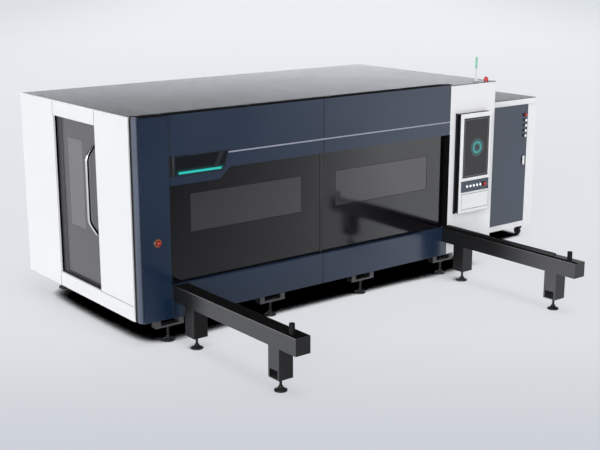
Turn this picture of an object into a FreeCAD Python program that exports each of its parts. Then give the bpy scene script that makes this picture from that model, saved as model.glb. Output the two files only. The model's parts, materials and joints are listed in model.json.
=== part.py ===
"""Enclosed fiber laser cutting machine with a pull-out work table, a console column and a laser cabinet.

Places are measured on the machine itself: x runs along the front from the left end face,
y runs backwards from the front fascia, z runs up from the floor. Every piece is then placed
so that the origin lies on the floor under the middle of the whole machine.
"""
import FreeCAD, Part
import math
import os
import Sketcher

doc = FreeCAD.newDocument("laser_cutting_machine")

# ---------------------------------------------------------------------------
# Driving dimensions, in millimetres and degrees
# ---------------------------------------------------------------------------
DIMENSIONS = (
    # sides of round pieces
    ("nut_sides", 6, "sides of a lock nut"),
    ("stud_sides", 14, "sides of a foot, axle, lamp or tube"),
    ("round_sides", 24, "sides of a button, dome or barrel"),
    ("wheel_sides", 32, "sides of a castor wheel"),
    # enclosure
    ("machine_length", 4600, "left end face to the column's right side"),
    ("machine_depth", 2310, "front fascia to the rear face"),
    ("roof_height", 2120, "top of the roof"),
    ("roof_sheet", 20, "depth of a folded roof panel"),
    ("skirt_height", 241, "lower edge of the panels"),
    ("panel_depth", 22, "depth of a folded wall panel"),
    ("skin", 3, "sheet metal"),
    ("seam", 4, "gap between neighbouring panels"),
    ("white_front", 120, "front edge of the white left end"),
    ("roof_front", 172, "front edge of the roof"),
    ("frame_tube", 60, "square tube of the upper frame"),
    ("frame_inset", 100, "upper frame in from the end faces"),
    ("frame_front", 170, "front face of the frame"),
    ("base_tube", 120, "square tube of the base"),
    ("base_bottom", 245, "underside of the base"),
    # fascia
    ("fascia_depth", 55, "depth of the folded fascia"),
    ("fascia_top", 2130, "top of the fascia"),
    ("strip_side", 58, "corner strip along the end face"),
    ("strip_chamfer", 16, "corner strip's chamfer"),
    ("strip_width", 24, "corner strip seen from the front"),
    ("strip_step", 12, "set-back of the strip's flange"),
    ("strip_bottom", 250, "lower end of the corner strip"),
    ("pillar_left", 42, "left edge of the pillar"),
    ("pillar_seam", 339, "seam between the pillar and the bands"),
    ("middle_seam", 2126, "seam in the middle of the bands"),
    ("band_bottom", 1585, "lower edge of the upper band"),
    ("tab_bottom", 1483, "lower edge of the upper band's tab"),
    ("tab_right", 884, "right end of the tab's lower edge"),
    ("tab_slope_end", 1000, "top of the tab's slope"),
    ("sill", 550, "top of the lower band, level with the rails"),
    ("opening_right", 3880, "right side of the front opening"),
    # lift door
    ("lift_plane", 60, "front face of the lift door"),
    ("lift_thick", 24, "thickness of the lift door"),
    ("lift_left", 312, "left edge of the lift door"),
    ("lift_right", 3872, "right edge of the lift door"),
    ("lift_bottom", 556, "lower edge of the lift door"),
    ("lift_top", 1597, "upper edge of the lift door"),
    ("lift_seam", 2145, "joint of the door's two panels"),
    ("joint_chamfer", 3, "groove along the door's joint"),
    ("pane_low", 1010, "lower edge of the front windows"),
    ("pane_high", 1372, "upper edge of the front windows"),
    ("pane_thick", 8, "thickness of a window pane"),
    ("pane_recess", 1.5, "pane behind the door's face"),
    ("pane_1_left", 594, "left window, left edge"),
    ("pane_1_right", 1892, "left window, right edge"),
    ("pane_2_left", 2331, "right window, left edge"),
    ("pane_2_right", 3615, "right window, right edge"),
    ("guide_width", 60, "width of the left door guide"),
    ("guide_lap", 10, "door guides over the door's edges"),
    # left end and its sliding door
    ("end_split_front", 737, "front edge of the door opening"),
    ("end_split_rear", 1586, "rear edge of the door opening"),
    ("end_door_low", 386, "sill of the door opening"),
    ("end_door_high", 1975, "head of the door opening"),
    ("leaf_plane", 60, "outer face of the sliding leaf"),
    ("leaf_thick", 28, "thickness of the sliding leaf"),
    ("leaf_lap", 36, "leaf behind the opening's edges"),
    ("leaf_bottom", 375, "lower edge of the leaf"),
    ("leaf_top", 1990, "upper edge of the leaf"),
    ("leaf_pane_front", 1115, "leaf window, front edge"),
    ("leaf_pane_rear", 1410, "leaf window, rear edge"),
    ("leaf_pane_low", 905, "leaf window, lower edge"),
    ("leaf_pane_high", 1775, "leaf window, upper edge"),
    ("bow_place", 872, "door handle, from the fascia"),
    ("bow_reach", 80, "door handle out of the leaf"),
    ("bow_radius", 19, "half thickness of the door handle"),
    ("bow_foot_low", 908, "lower foot of the door handle"),
    ("bow_bend_low", 1039, "lower bend of the door handle"),
    ("bow_bend_high", 1656, "upper bend of the door handle"),
    ("bow_foot_high", 1768, "upper foot of the door handle"),
    # console column
    ("column_left", 3897, "left side of the console column"),
    ("column_cap", 8, "dark cap on the column"),
    ("column_round", 10, "rounding of the column's edges"),
    ("console_left", 3997, "left side of the console"),
    ("console_right", 4467, "right side of the console"),
    ("console_low", 700, "lower end of the console"),
    ("console_high", 1804, "upper end of the console"),
    ("console_depth", 60, "depth of the console's black housing"),
    ("console_round", 14, "rounding of the housing"),
    ("bezel_thick", 18, "thickness of the console's white frame"),
    ("bezel_round", 6, "rounding of the white frame"),
    ("screen_left", 4034, "screen, left edge"),
    ("screen_right", 4438, "screen, right edge"),
    ("screen_low", 1092, "screen, lower edge"),
    ("screen_high", 1756, "screen, upper edge"),
    ("screen_recess", 3, "screen behind the white frame"),
    ("plate_left", 4017, "button plate, left edge"),
    ("plate_right", 4455, "button plate, right edge"),
    ("plate_low", 934, "button plate, lower edge"),
    ("plate_high", 1059, "button plate, upper edge"),
    ("tray_left", 4024, "keyboard tray, left edge"),
    ("tray_right", 4458, "keyboard tray, right edge"),
    ("tray_low", 735, "keyboard tray, lower edge and hinge"),
    ("tray_high", 916, "keyboard tray, upper edge"),
    ("gap", 1.5, "gap round a small moving piece"),
    # push buttons
    ("button_first", 4111, "first console button"),
    ("button_pitch", 53, "between the console buttons"),
    ("button_height", 996, "height of the console buttons"),
    ("button_radius", 13, "radius of a console button"),
    ("button_proud", 8, "button out of its plate"),
    ("button_rear", 8, "button inside its plate"),
    ("stop_console", 4381, "console emergency stop"),
    ("stop_pillar", 196, "pillar emergency stop"),
    ("stop_pillar_height", 980, "height of the pillar emergency stop"),
    ("stop_ring_radius", 44, "radius of the pillar stop's ring"),
    ("stop_ring_thick", 14, "thickness of the pillar stop's ring"),
    ("stop_cap_radius", 22, "radius of an emergency stop's cap"),
    ("stop_cap_proud", 20, "cap in front of its stem"),
    ("stop_stem_radius", 12, "radius of an emergency stop's stem"),
    ("stop_stem_front", 10, "stem in front of its plate"),
    ("stop_stem_rear", 9, "stem inside its plate"),
    ("fit_gap", 0.08, "radial gap round a push button"),
    # outfeed rails and table tracks
    ("rail_left", 354, "left rail, left side"),
    ("rail_right", 3824, "right rail, left side"),
    ("rail_size", 152, "square section of the rails"),
    ("rail_reach", 1820, "rails in front of the fascia"),
    ("rail_wall", 6, "wall of the rails and legs"),
    ("leg_size", 148, "square section of the legs"),
    ("leg_near", 250, "near leg in front of the fascia"),
    ("leg_far", 1520, "far leg in front of the fascia"),
    ("leg_bottom", 118, "lower end of the legs"),
    ("window_width", 110, "window in the far legs"),
    ("window_low", 128, "window's lower edge"),
    ("window_high", 200, "window's upper edge"),
    ("guide_left", 3886, "guide strip, left side"),
    ("guide_strip_width", 40, "guide strip, width"),
    ("guide_strip_height", 25, "guide strip, height"),
    ("guide_strip_end", 1500, "guide strip in front of the fascia"),
    ("stop_post", 48, "stop post across its flats"),
    ("stop_post_height", 98, "height of a stop post"),
    ("stop_post_place", 1715, "stop posts in front of the fascia"),
    ("stop_post_inset", 20, "stop posts in from the rail's side"),
    ("track_front", 90, "front end of the inner tracks"),
    # levelling feet and fork pockets
    ("foot_disc_radius", 57, "radius of a levelling foot"),
    ("foot_disc_thick", 12, "edge of a levelling foot"),
    ("foot_cone_height", 34, "height of the foot's cone"),
    ("foot_nut_radius", 26, "lock nut"),
    ("foot_nut_height", 16, "height of the lock nut"),
    ("foot_stud_radius", 12, "stud of a levelling foot"),
    ("pocket_first", 337, "middle of the first fork pocket"),
    ("pocket_pitch", 1189, "between the fork pockets"),
    ("pocket_width", 304, "outer width of a fork pocket"),
    ("pocket_wall", 54, "upright of a fork pocket"),
    ("pocket_floor", 20, "bar under a fork pocket"),
    ("pocket_bottom", 148, "underside of a fork pocket"),
    ("pocket_front", 58, "front face of the fork pockets"),
    ("pocket_depth", 80, "depth of a fork pocket"),
    # inside: runways, gantry and head
    ("runway_side", 120, "width of a runway beam"),
    ("runway_high", 1160, "top of the runway beams"),
    ("runway_tall", 200, "height of a runway beam"),
    ("runway_rear", 2080, "front face of the rear runway beam"),
    ("runway_start", 165, "left end of the runway beams"),
    ("linear_guide", 30, "section of a linear guide"),
    ("gantry_place", 450, "middle of the gantry at rest"),
    ("truck_half", 230, "half length of a gantry truck"),
    ("truck_tall", 25, "height of a gantry truck"),
    ("beam_half", 100, "half width of the gantry beam"),
    ("beam_tall", 220, "height of the gantry beam"),
    ("beam_wall", 8, "wall of the gantry beam"),
    ("carriage_half", 130, "half width of the head carriage"),
    ("carriage_thick", 30, "thickness of the head carriage"),
    ("head_rest", 480, "cutting head at rest, from the fascia"),
    ("head_out", 95, "head's axis from the carriage's face"),
    ("nozzle_rest", 810, "nozzle tip at rest"),
    ("head_slide_thick", 20, "thickness of the head's slide plate"),
    ("motor_radius", 34, "radius of the lift motor"),
    # work table
    ("table_front", 450, "front edge of the table at rest"),
    ("table_rear", 2030, "rear edge of the table at rest"),
    ("table_left", 410, "left side of the table frame"),
    ("table_right", 3822, "right side of the table frame"),
    ("table_bar", 50, "width of the table's bars"),
    ("table_low", 558, "underside of the table frame"),
    ("table_deck", 600, "top of the table frame"),
    ("slat_count", 30, "support slats"),
    ("slat_pitch", 110, "between the slats"),
    ("slat_thick", 6, "thickness of a slat"),
    ("slat_front", 515, "front end of the slats"),
    ("slat_rear", 1995, "rear end of the slats"),
    ("slat_root", 625, "bottom of the slats' notches"),
    ("slat_tip", 645, "tips of the slats"),
    ("slat_teeth", 12, "teeth of a slat"),
    ("wheel_radius", 26, "table wheel"),
    ("wheel_width", 28, "width of a table wheel"),
    ("wheel_gap", 10, "table wheel off the frame"),
    ("axle_radius", 11, "table axle"),
    ("axle_gap", 0.05, "running gap of the table axle"),
    ("axle_inset", 110, "axles in from the table's ends"),
    ("tray_floor", 400, "underside of the scrap tray"),
    ("tray_rim", 540, "rim of the scrap tray"),
    # beacon and alarm lamp
    ("beacon_place", 4433, "beacon, along the front"),
    ("beacon_back", 150, "beacon, from the fascia"),
    ("beacon_base_radius", 38, "beacon base"),
    ("beacon_base_height", 8, "height of the beacon's flange"),
    ("beacon_neck_height", 34, "top of the beacon's cone"),
    ("beacon_pole_radius", 6, "beacon pole"),
    ("beacon_lamp_low", 140, "lamp above the roof"),
    ("beacon_lamp_high", 262, "top of the lamp above the roof"),
    ("beacon_lamp_radius", 12, "beacon lamp"),
    ("alarm_place", 4562, "alarm lamp, along the front"),
    ("alarm_back", 118, "alarm lamp, from the fascia"),
    ("alarm_radius", 26, "alarm lamp"),
    ("alarm_base", 14, "height of the alarm lamp's foot"),
    # laser cabinet
    ("cabinet_left", 5060, "left side of the cabinet"),
    ("cabinet_right", 6020, "right side of the cabinet"),
    ("cabinet_front", 600, "front of the cabinet"),
    ("cabinet_depth", 800, "depth of the cabinet"),
    ("cabinet_low", 146, "underside of the cabinet"),
    ("cabinet_high", 1690, "underside of the cabinet's top"),
    ("cabinet_top", 1765, "top of the cabinet"),
    ("cabinet_wall", 25, "wall of the cabinet"),
    ("cabinet_post", 145, "front post of the cabinet"),
    ("cabinet_rail", 67, "bottom rail of the cabinet"),
    ("cabinet_lip", 8, "top past the cabinet's sides"),
    ("cabinet_door_thick", 20, "thickness of the cabinet door"),
    ("cabinet_button_x", 5818, "cabinet buttons, along the front"),
    ("cabinet_stop_z", 1560, "height of the cabinet's emergency stop"),
    ("lamp_first_z", 1495, "highest of the cabinet's lamps"),
    ("lamp_pitch", 64, "between the cabinet's lamps"),
    ("lamp_radius", 16, "cabinet lamp"),
    ("lamp_proud", 24, "cabinet lamp in front of the door"),
    ("lever_x", 5812, "cabinet lever, along the front"),
    ("lever_low", 940, "lower end of the cabinet lever"),
    ("lever_pivot", 1035, "pivot of the cabinet lever"),
    ("lever_high", 1052, "upper end of the cabinet lever"),
    ("lever_half", 17, "half width of the cabinet lever"),
    ("lever_gap", 6, "lever in front of the door"),
    ("lever_thick", 16, "thickness of the cabinet lever"),
    ("castor_inset_x", 96, "castors in from the cabinet's sides"),
    ("castor_inset_y", 90, "castors in from the cabinet's front and back"),
    ("castor_trail", 34, "wheel behind the castor's swivel"),
    ("castor_radius", 50, "castor wheel"),
    ("castor_width", 30, "width of a castor wheel"),
    ("castor_plate", 6, "castor's plate and cheeks"),
    ("castor_head", 38, "radius of the swivel head"),
    ("castor_cheek_gap", 2, "castor cheek off its wheel"),
    ("castor_pin", 6, "radius of a castor's axle"),
    ("source_left", 5290, "laser source, left side"),
    ("source_right", 5840, "laser source, right side"),
    ("source_front", 740, "laser source, front"),
    ("source_rear", 1300, "laser source, rear"),
    ("source_high", 880, "laser source, top"),
    ("source_rib", 12, "cooling rib of the laser source"),
    ("source_ribs", 8, "cooling ribs"),
    ("duct_front", 1080, "cable duct, front side"),
    ("duct_rear", 1260, "cable duct, rear side"),
    ("duct_low", 1440, "cable duct, underside"),
    ("duct_high", 1540, "cable duct, top"),
    ("duct_flange", 24, "cable duct's flange"),
)


class Size:
    """A number together with the sheet formula that drives it."""

    def __init__(self, number, formula):
        self.number = number
        self.formula = formula

    def joined(self, sign, other, number):
        return Size(number, f"({self.formula} {sign} {size(other).formula})")

    def __add__(self, other):
        return self.joined("+", other, self.number + size(other).number)

    def __sub__(self, other):
        return self.joined("-", other, self.number - size(other).number)

    def __mul__(self, other):
        return self.joined("*", other, self.number * size(other).number)

    def __truediv__(self, other):
        return self.joined("/", other, self.number / size(other).number)

    def __neg__(self):
        return Size(-self.number, f"(0 - {self.formula})")


def size(given):
    """The given size, or a plain number as a size."""
    return given if isinstance(given, Size) else Size(given, f"({given})")


def driving_dimensions():
    """Write the sheet and return one named size for each of its rows."""
    sheet = doc.addObject("Spreadsheet::Sheet", "dims")
    named = type("Dimensions", (), {})()
    for row, (alias, number, note) in enumerate(DIMENSIONS, start=1):
        sheet.set(f"A{row}", str(number))
        sheet.setAlias(f"A{row}", alias)
        sheet.set(f"B{row}", note)
        setattr(named, alias, Size(number, f"dims.{alias}"))
    doc.recompute()
    return named


d = driving_dimensions()
middle_x = (d.cabinet_right + d.cabinet_lip + d.leaf_plane - d.bow_reach - d.bow_radius) / 2
middle_y = (d.machine_depth - d.rail_reach) / 2
nodes = []

# ---------------------------------------------------------------------------
# Ways of making a solid
# ---------------------------------------------------------------------------
PLANES = {"x": "YZ_Plane", "y": "XZ_Plane", "z": "XY_Plane"}
TURNED = {
    "x": FreeCAD.Rotation(FreeCAD.Vector(0, 1, 0), 90),
    "y": FreeCAD.Rotation(FreeCAD.Vector(1, 0, 0), -90),
    "z": FreeCAD.Rotation()}
UPRIGHT = FreeCAD.Rotation(FreeCAD.Vector(1, 0, 0), 90)


def node(label, item):
    """Keep an item as one of the machine's named pieces."""
    item.Label = label
    nodes.append(item)
    return item


def bind(item, prop, given):
    """Drive one property of an item by the sheet."""
    item.setExpression(prop, size(given).formula)


def place(item, x=0, y=0, z=0):
    """Put an item at a place that is measured on the machine."""
    bind(item, "Placement.Base.x", size(x) - middle_x)
    bind(item, "Placement.Base.y", size(y) - middle_y)
    bind(item, "Placement.Base.z", z)
    return item


def block(name, x, y, z):
    """A rectangular block between two places along each axis."""
    item = doc.addObject("Part::Box", name)
    bind(item, "Length", size(x[1]) - x[0])
    bind(item, "Width", size(y[1]) - y[0])
    bind(item, "Height", size(z[1]) - z[0])
    return place(item, x[0], y[0], z[0])


def rod(name, axis, start, length, radius):
    """A round rod that starts at a place and runs along +X, +Y or +Z."""
    item = doc.addObject("Part::Cylinder", name)
    item.Placement = FreeCAD.Placement(FreeCAD.Vector(), TURNED[axis])
    bind(item, "Radius", radius)
    bind(item, "Height", length)
    return place(item, *start)


def many_sided(name, axis, start, length, radius, sides):
    """A straight form with flat sides; small round pieces are made so, because their facets stay few."""
    item = doc.addObject("Part::Prism", name)
    item.Placement = FreeCAD.Placement(FreeCAD.Vector(), TURNED[axis])
    bind(item, "Polygon", sides)
    bind(item, "Circumradius", radius)
    bind(item, "Height", length)
    return place(item, *start)


def group(name, items):
    """Separate solids that are kept together as one piece."""
    item = doc.addObject("Part::Compound", name)
    item.Links = items
    return item


def fused(name, items):
    """One solid made of several."""
    item = doc.addObject("Part::MultiFuse", name)
    item.Shapes = items
    item.Refine = True
    return item


def without(name, base, tool):
    """The base with the tool's form taken out of it."""
    item = doc.addObject("Part::Cut", name)
    item.Base = base
    item.Tool = tool
    return item


def draw(sketch, points, closed=True):
    """Draw an outline, or an open line, whose corners are pinned to the sheet."""
    first = sketch.GeometryCount
    count = len(points)
    runs = count if closed else count - 1
    corners = [FreeCAD.Vector(size(u).number, size(v).number, 0) for u, v in points]
    lines = [Part.LineSegment(corners[i], corners[(i + 1) % count]) for i in range(runs)]
    sketch.addGeometry(lines, False)
    joints = [Sketcher.Constraint("Coincident", first + i, 2, first + (i + 1) % count, 1)
              for i in range(runs if closed else runs - 1)]
    sketch.addConstraint(joints)
    pins = sketch.ConstraintCount
    measures = []
    for i, corner in enumerate(corners):
        line, end = (first + i, 1) if i < runs else (first + runs - 1, 2)
        measures.append(Sketcher.Constraint("DistanceX", -1, 1, line, end, corner.x))
        measures.append(Sketcher.Constraint("DistanceY", -1, 1, line, end, corner.y))
    sketch.addConstraint(measures)
    for i, (u, v) in enumerate(points):
        bind(sketch, f"Constraints[{pins + 2 * i}]", u)
        bind(sketch, f"Constraints[{pins + 2 * i + 1}]", v)


def draw_circle(sketch, u, v, radius):
    """Draw a circle that is pinned to the sheet."""
    centre = FreeCAD.Vector(size(u).number, size(v).number, 0)
    circle = sketch.addGeometry(Part.Circle(centre, FreeCAD.Vector(0, 0, 1), size(radius).number), False)
    pins = sketch.ConstraintCount
    sketch.addConstraint([
        Sketcher.Constraint("DistanceX", -1, 1, circle, 3, centre.x),
        Sketcher.Constraint("DistanceY", -1, 1, circle, 3, centre.y),
        Sketcher.Constraint("Radius", circle, size(radius).number)])
    for offset, given in enumerate((u, v, radius)):
        bind(sketch, f"Constraints[{pins + offset}]", given)


def regular(u, v, radius, sides):
    """The corners of a regular outline round a place in a sketch."""
    turns = [math.tau * number / sides.number for number in range(sides.number)]
    radius = size(radius)
    return [(u + radius * math.cos(turn), v + radius * math.sin(turn)) for turn in turns]


def rectangle(u, v):
    """The corners of a rectangle between two places along each sketch axis."""
    return [(u[0], v[0]), (u[1], v[0]), (u[1], v[1]), (u[0], v[1])]


class Body:
    """A solid that is built up from sketches: prisms, cuts, turned forms and rounded edges."""

    def __init__(self, name):
        self.name = name
        self.item = doc.addObject("PartDesign::Body", name)
        self.features = 0
        place(self.item)

    def at(self, x=0, y=0, z=0):
        place(self.item, x, y, z)
        return self

    def sketch(self, axis, level, outlines, circles=()):
        self.features += 1
        sketch = self.item.newObject("Sketcher::SketchObject", f"{self.name}_sketch_{self.features}")
        plane = [feature for feature in self.item.Origin.OriginFeatures if feature.Role == PLANES[axis]][0]
        sketch.AttachmentSupport = [(plane, "")]
        sketch.MapMode = "FlatFace"
        bind(sketch, "AttachmentOffset.Base.z", -size(level) if axis == "y" else level)
        for points in outlines:
            draw(sketch, points)
        for circle in circles:
            draw_circle(sketch, *circle)
        return sketch

    def prism(self, axis, low, high, *outlines, circles=()):
        """Fill the outlines from one level to another along an axis."""
        start = high if axis == "y" else low
        sketch = self.sketch(axis, start, outlines, circles)
        pad = self.item.newObject("PartDesign::Pad", f"{self.name}_pad_{self.features}")
        pad.Profile = sketch
        bind(pad, "Length", size(high) - low)
        self.item.Tip = pad
        return self

    def cut(self, axis, low, high, *outlines, circles=()):
        """Take the outlines away from one level to another along an axis."""
        start = low if axis == "y" else high
        sketch = self.sketch(axis, start, outlines, circles)
        pocket = self.item.newObject("PartDesign::Pocket", f"{self.name}_pocket_{self.features}")
        pocket.Profile = sketch
        bind(pocket, "Length", size(high) - low)
        self.item.Tip = pocket
        return self

    def turned(self, axis, points, line):
        """Turn an outline about the horizontal (H) or vertical (V) line of its sketch."""
        sketch = self.sketch(axis, 0, [points])
        turn = self.item.newObject("PartDesign::Revolution", f"{self.name}_turn_{self.features}")
        turn.Profile = sketch
        turn.ReferenceAxis = (sketch, [f"{line}_Axis"])
        turn.Angle = 360
        self.item.Tip = turn
        return self

    def faceted(self, axis, low, high, radius, sides, kind="Additive"):
        """Add a many-sided form about the body's own axis, or take it away with the kind Subtractive."""
        self.features += 1
        form = self.item.newObject(f"PartDesign::{kind}Prism", f"{self.name}_sides_{self.features}")
        form.Placement = FreeCAD.Placement(FreeCAD.Vector(), TURNED[axis])
        bind(form, "Polygon", sides)
        bind(form, "Circumradius", radius)
        bind(form, "Height", size(high) - low)
        bind(form, f"Placement.Base.{axis}", low)
        self.item.Tip = form
        return self

    def dressed(self, kind, radius, wanted):
        """Round or chamfer the edges that the test picks."""
        doc.recompute()
        base = self.item.Tip
        names = [f"Edge{i + 1}" for i, edge in enumerate(base.Shape.Edges) if wanted(edge)]
        self.features += 1
        dress = self.item.newObject(f"PartDesign::{kind}", f"{self.name}_edges_{self.features}")
        dress.Base = (base, names)
        bind(dress, "Radius" if kind == "Fillet" else "Size", radius)
        self.item.Tip = dress
        return self

    def tapered(self, axis, level, along, radii, sides):
        """Taper the end of a many-sided form from the first radius to the second over a length."""
        across = (size(radii[0]) - radii[1]) * math.cos(math.pi / sides.number)
        self.dressed("Chamfer", along, lambda edge: at_level(edge, axis, level))
        chamfer = self.item.Tip
        chamfer.ChamferType = "Two distances"
        bind(chamfer, "Size2", across)
        return self


def runs_along(edge, axis):
    """Whether a straight edge runs along an axis."""
    if edge.Curve.TypeId != "Part::GeomLine":
        return False
    return abs(getattr(edge.Curve.Direction, axis)) > 0.999


def at_level(edge, axis, given):
    """Whether an edge's middle lies at a level of its own body."""
    return abs(getattr(edge.CenterOfMass, axis) - size(given).number) < 0.01


def pan(name, axis, low, high, u, v, open_side):
    """A folded sheet panel: a rectangle with edges turned back on its open side."""
    body = Body(name).prism(axis, low, high, rectangle(u, v))
    inner = rectangle((size(u[0]) + d.skin, size(u[1]) - d.skin), (size(v[0]) + d.skin, size(v[1]) - d.skin))
    if open_side == "high":
        return body.cut(axis, size(low) + d.skin, high, inner)
    return body.cut(axis, low, size(high) - d.skin, inner)


# ---------------------------------------------------------------------------
# Welded frame, levelling feet and the inside of the machine
# ---------------------------------------------------------------------------
inner_left = d.frame_inset
inner_right = d.machine_length - d.frame_inset
back_plane = d.machine_depth - d.panel_depth
base_top = d.base_bottom + d.base_tube
ring_top = d.roof_height - d.roof_sheet
guide_side = d.runway_side + d.frame_front


def base_tubes():
    """Front, rear and cross tubes of the base."""
    across = (d.panel_depth, d.machine_length - d.panel_depth)
    level = (d.base_bottom, base_top)
    front = (d.frame_front, d.frame_front + d.base_tube)
    rear = (back_plane - d.base_tube, back_plane)
    tubes = [block("base_front", across, front, level), block("base_rear", across, rear, level)]
    pitch = (inner_right - d.base_tube - inner_left) / 3
    for number in range(4):
        left = inner_left + pitch * number
        wide = (left, left + d.base_tube)
        tubes.append(block(f"base_cross_{number + 1}", wide, (front[1], rear[0]), level))
    ends = ((d.panel_depth, inner_left), (inner_right, across[1]))
    for number, end in enumerate(ends, start=1):
        tubes.append(block(f"base_end_{number}", end, (front[1], rear[0]), level))
    return tubes


def upper_frame():
    """Corner posts and the ring that carries the roof."""
    front = (d.frame_front, d.frame_front + d.frame_tube)
    rear = (back_plane - d.frame_tube, back_plane)
    left = (inner_left, inner_left + d.frame_tube)
    right = (inner_right - d.frame_tube, inner_right)
    ring = (ring_top - d.frame_tube, ring_top)
    tubes = []
    for side, along in (("left", left), ("right", right)):
        tubes.append(block(f"post_front_{side}", along, front, (base_top, ring[0])))
        tubes.append(block(f"post_rear_{side}", along, rear, (base_top, ring[0])))
        tubes.append(block(f"ring_{side}", along, (front[1], rear[0]), ring))
    tubes.append(block("ring_front", (d.panel_depth, d.machine_length - d.panel_depth), front, ring))
    tubes.append(block("ring_rear", (d.panel_depth, d.machine_length - d.panel_depth), rear, ring))
    return tubes


def fascia_carriers():
    """What holds the fascia off the frame: door guides, a head plate and brackets at the fork pockets."""
    depth = (d.fascia_depth, d.frame_front)
    behind_door = (d.lift_plane + d.lift_thick, d.frame_front)
    head = (ring_top - d.skin * 2, ring_top)
    left_guide = (d.lift_left + d.guide_lap - d.guide_width, d.lift_left + d.guide_lap)
    right_guide = (d.lift_right - d.guide_lap, d.column_left - d.seam)
    parts = [block("door_guide_left", left_guide, behind_door, (base_top, head[0]))]
    parts.append(block("door_guide_right", right_guide, behind_door, (d.sill, head[0])))
    parts.append(block("head_plate", (d.pillar_left, d.column_left - d.seam), depth, head))
    half = d.pocket_width / 2
    for number in range(4):
        middle = d.pocket_first + d.pocket_pitch * number
        right = d.column_left - d.seam if number == 3 else middle + half
        parts.append(block(f"carrier_{number + 1}", (middle - half, right), depth, (d.base_bottom, base_top)))
    return parts


def fork_pocket(number):
    """A U-shaped bracket under the front that a lift truck's fork goes through: a bar and two uprights."""
    middle = d.pocket_first + d.pocket_pitch * number
    left = middle - d.pocket_width / 2
    right = middle + d.pocket_width / 2
    deep = (d.pocket_front, d.pocket_front + d.pocket_depth)
    floor = d.pocket_bottom + d.pocket_floor
    name = f"pocket_{number + 1}"
    return [block(f"{name}_bar", (left, right), deep, (d.pocket_bottom, floor)),
            block(f"{name}_left", (left, left + d.pocket_wall), deep, (floor, d.base_bottom)),
            block(f"{name}_right", (right - d.pocket_wall, right), deep, (floor, d.base_bottom))]


def table_tracks():
    """The two tracks inside that continue the outfeed rails."""
    level = (base_top, d.sill)
    deep = (d.track_front, back_plane - d.base_tube)
    return [block("track_left", (d.rail_left, d.rail_left + d.rail_size), deep, level),
            block("track_right", (d.rail_right, d.column_left - d.seam), deep, level)]


def runway_posts():
    """Posts between the base and the ends of the runway beams."""
    level = (base_top, d.runway_high - d.runway_tall)
    posts = []
    right_post = d.machine_length - d.runway_start - d.runway_side
    for side, left in (("left", d.runway_start), ("right", right_post)):
        for end, front in (("front", d.frame_front), ("rear", d.runway_rear)):
            posts.append(block(f"runway_post_{end}_{side}", (left, left + d.runway_side),
                               (front, front + d.runway_side), level))
    return posts


def leaf_track():
    """The track under the left end's sliding door."""
    rear = back_plane - d.frame_tube / 2
    return [block("leaf_track", (d.leaf_plane, d.leaf_plane + d.leaf_thick + d.skin),
                  (d.frame_front, rear), (base_top, d.leaf_bottom))]


def frame():
    tubes = base_tubes() + upper_frame() + fascia_carriers() + table_tracks() + runway_posts() + leaf_track()
    for number in range(4):
        tubes += fork_pocket(number)
    node("bed_frame", group("bed_frame_parts", tubes))


def levelling_foot(name, x, y, top):
    """A foot with a cone on its disc, a stud, and a hexagonal lock nut under what it carries."""
    nut_low = size(top) - d.foot_nut_height
    cone_top = d.foot_disc_thick + d.foot_cone_height
    foot = Body(name).faceted("z", 0, cone_top, d.foot_disc_radius, d.stud_sides)
    foot.tapered("z", cone_top, d.foot_cone_height, (d.foot_disc_radius, d.foot_stud_radius), d.stud_sides)
    foot.faceted("z", cone_top, nut_low, d.foot_stud_radius, d.stud_sides)
    foot.faceted("z", nut_low, top, d.foot_nut_radius, d.nut_sides)
    return foot.at(x, y).item


def levelling_feet():
    """Feet under the fork pockets, the rear of the base and the legs of the outfeed rails."""
    feet = []
    for number in range(4):
        x = d.pocket_first + d.pocket_pitch * number
        front = d.pocket_front + d.pocket_depth / 2
        feet.append(levelling_foot(f"foot_front_{number + 1}", x, front, d.pocket_bottom))
        feet.append(levelling_foot(f"foot_rear_{number + 1}", x, back_plane - d.base_tube / 2, d.base_bottom))
    for side, left in (("left", d.rail_left), ("right", d.rail_right)):
        for reach, y in (("near", -d.leg_near), ("far", -d.leg_far)):
            feet.append(levelling_foot(f"foot_{side}_{reach}", left + d.rail_size / 2, y, d.leg_bottom))
    node("levelling_feet", group("levelling_feet_parts", feet))


def runways():
    """The two machined beams that the gantry runs on, with a linear guide and a rack on each."""
    along = (d.runway_start, d.machine_length - d.runway_start)
    level = (d.runway_high - d.runway_tall, d.runway_high)
    beams = []
    guides = []
    for end, front in (("front", d.frame_front), ("rear", d.runway_rear)):
        beams.append(block(f"runway_{end}", along, (front, front + d.runway_side), level))
        inner = front + (d.runway_side - d.linear_guide) / 2
        guides.append(block(f"linear_guide_{end}", along, (inner, inner + d.linear_guide),
                            (d.runway_high, d.runway_high + d.linear_guide)))
        rack = front + d.linear_guide / 2
        guides.append(block(f"rack_{end}", along, (rack, rack + d.linear_guide / 2),
                            (d.runway_high, d.runway_high + d.linear_guide / 2)))
    node("runway_beams", group("runway_beams_parts", beams))
    node("linear_guides", group("linear_guides_parts", guides))


def scrap_tray():
    """The open tray under the table, on two rails across the base tubes."""
    along = (d.rail_left + d.rail_size + d.seam, d.rail_right - d.seam)
    deep = (d.frame_front + d.base_tube + d.seam, back_plane - d.base_tube - d.seam)
    body = Body("scrap_tray_body").prism("z", d.tray_floor, d.tray_rim, rectangle(along, deep))
    inside = rectangle((along[0] + d.skin, along[1] - d.skin), (deep[0] + d.skin, deep[1] - d.skin))
    body.cut("z", d.tray_floor + d.skin, d.tray_rim, inside)
    for number in range(2):
        front = deep[0] + d.base_tube + (deep[1] - deep[0] - d.base_tube * 3) * number
        body.prism("z", base_top, d.tray_floor, rectangle(along, (front, front + d.base_tube)))
    node("scrap_tray", body.item)


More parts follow.
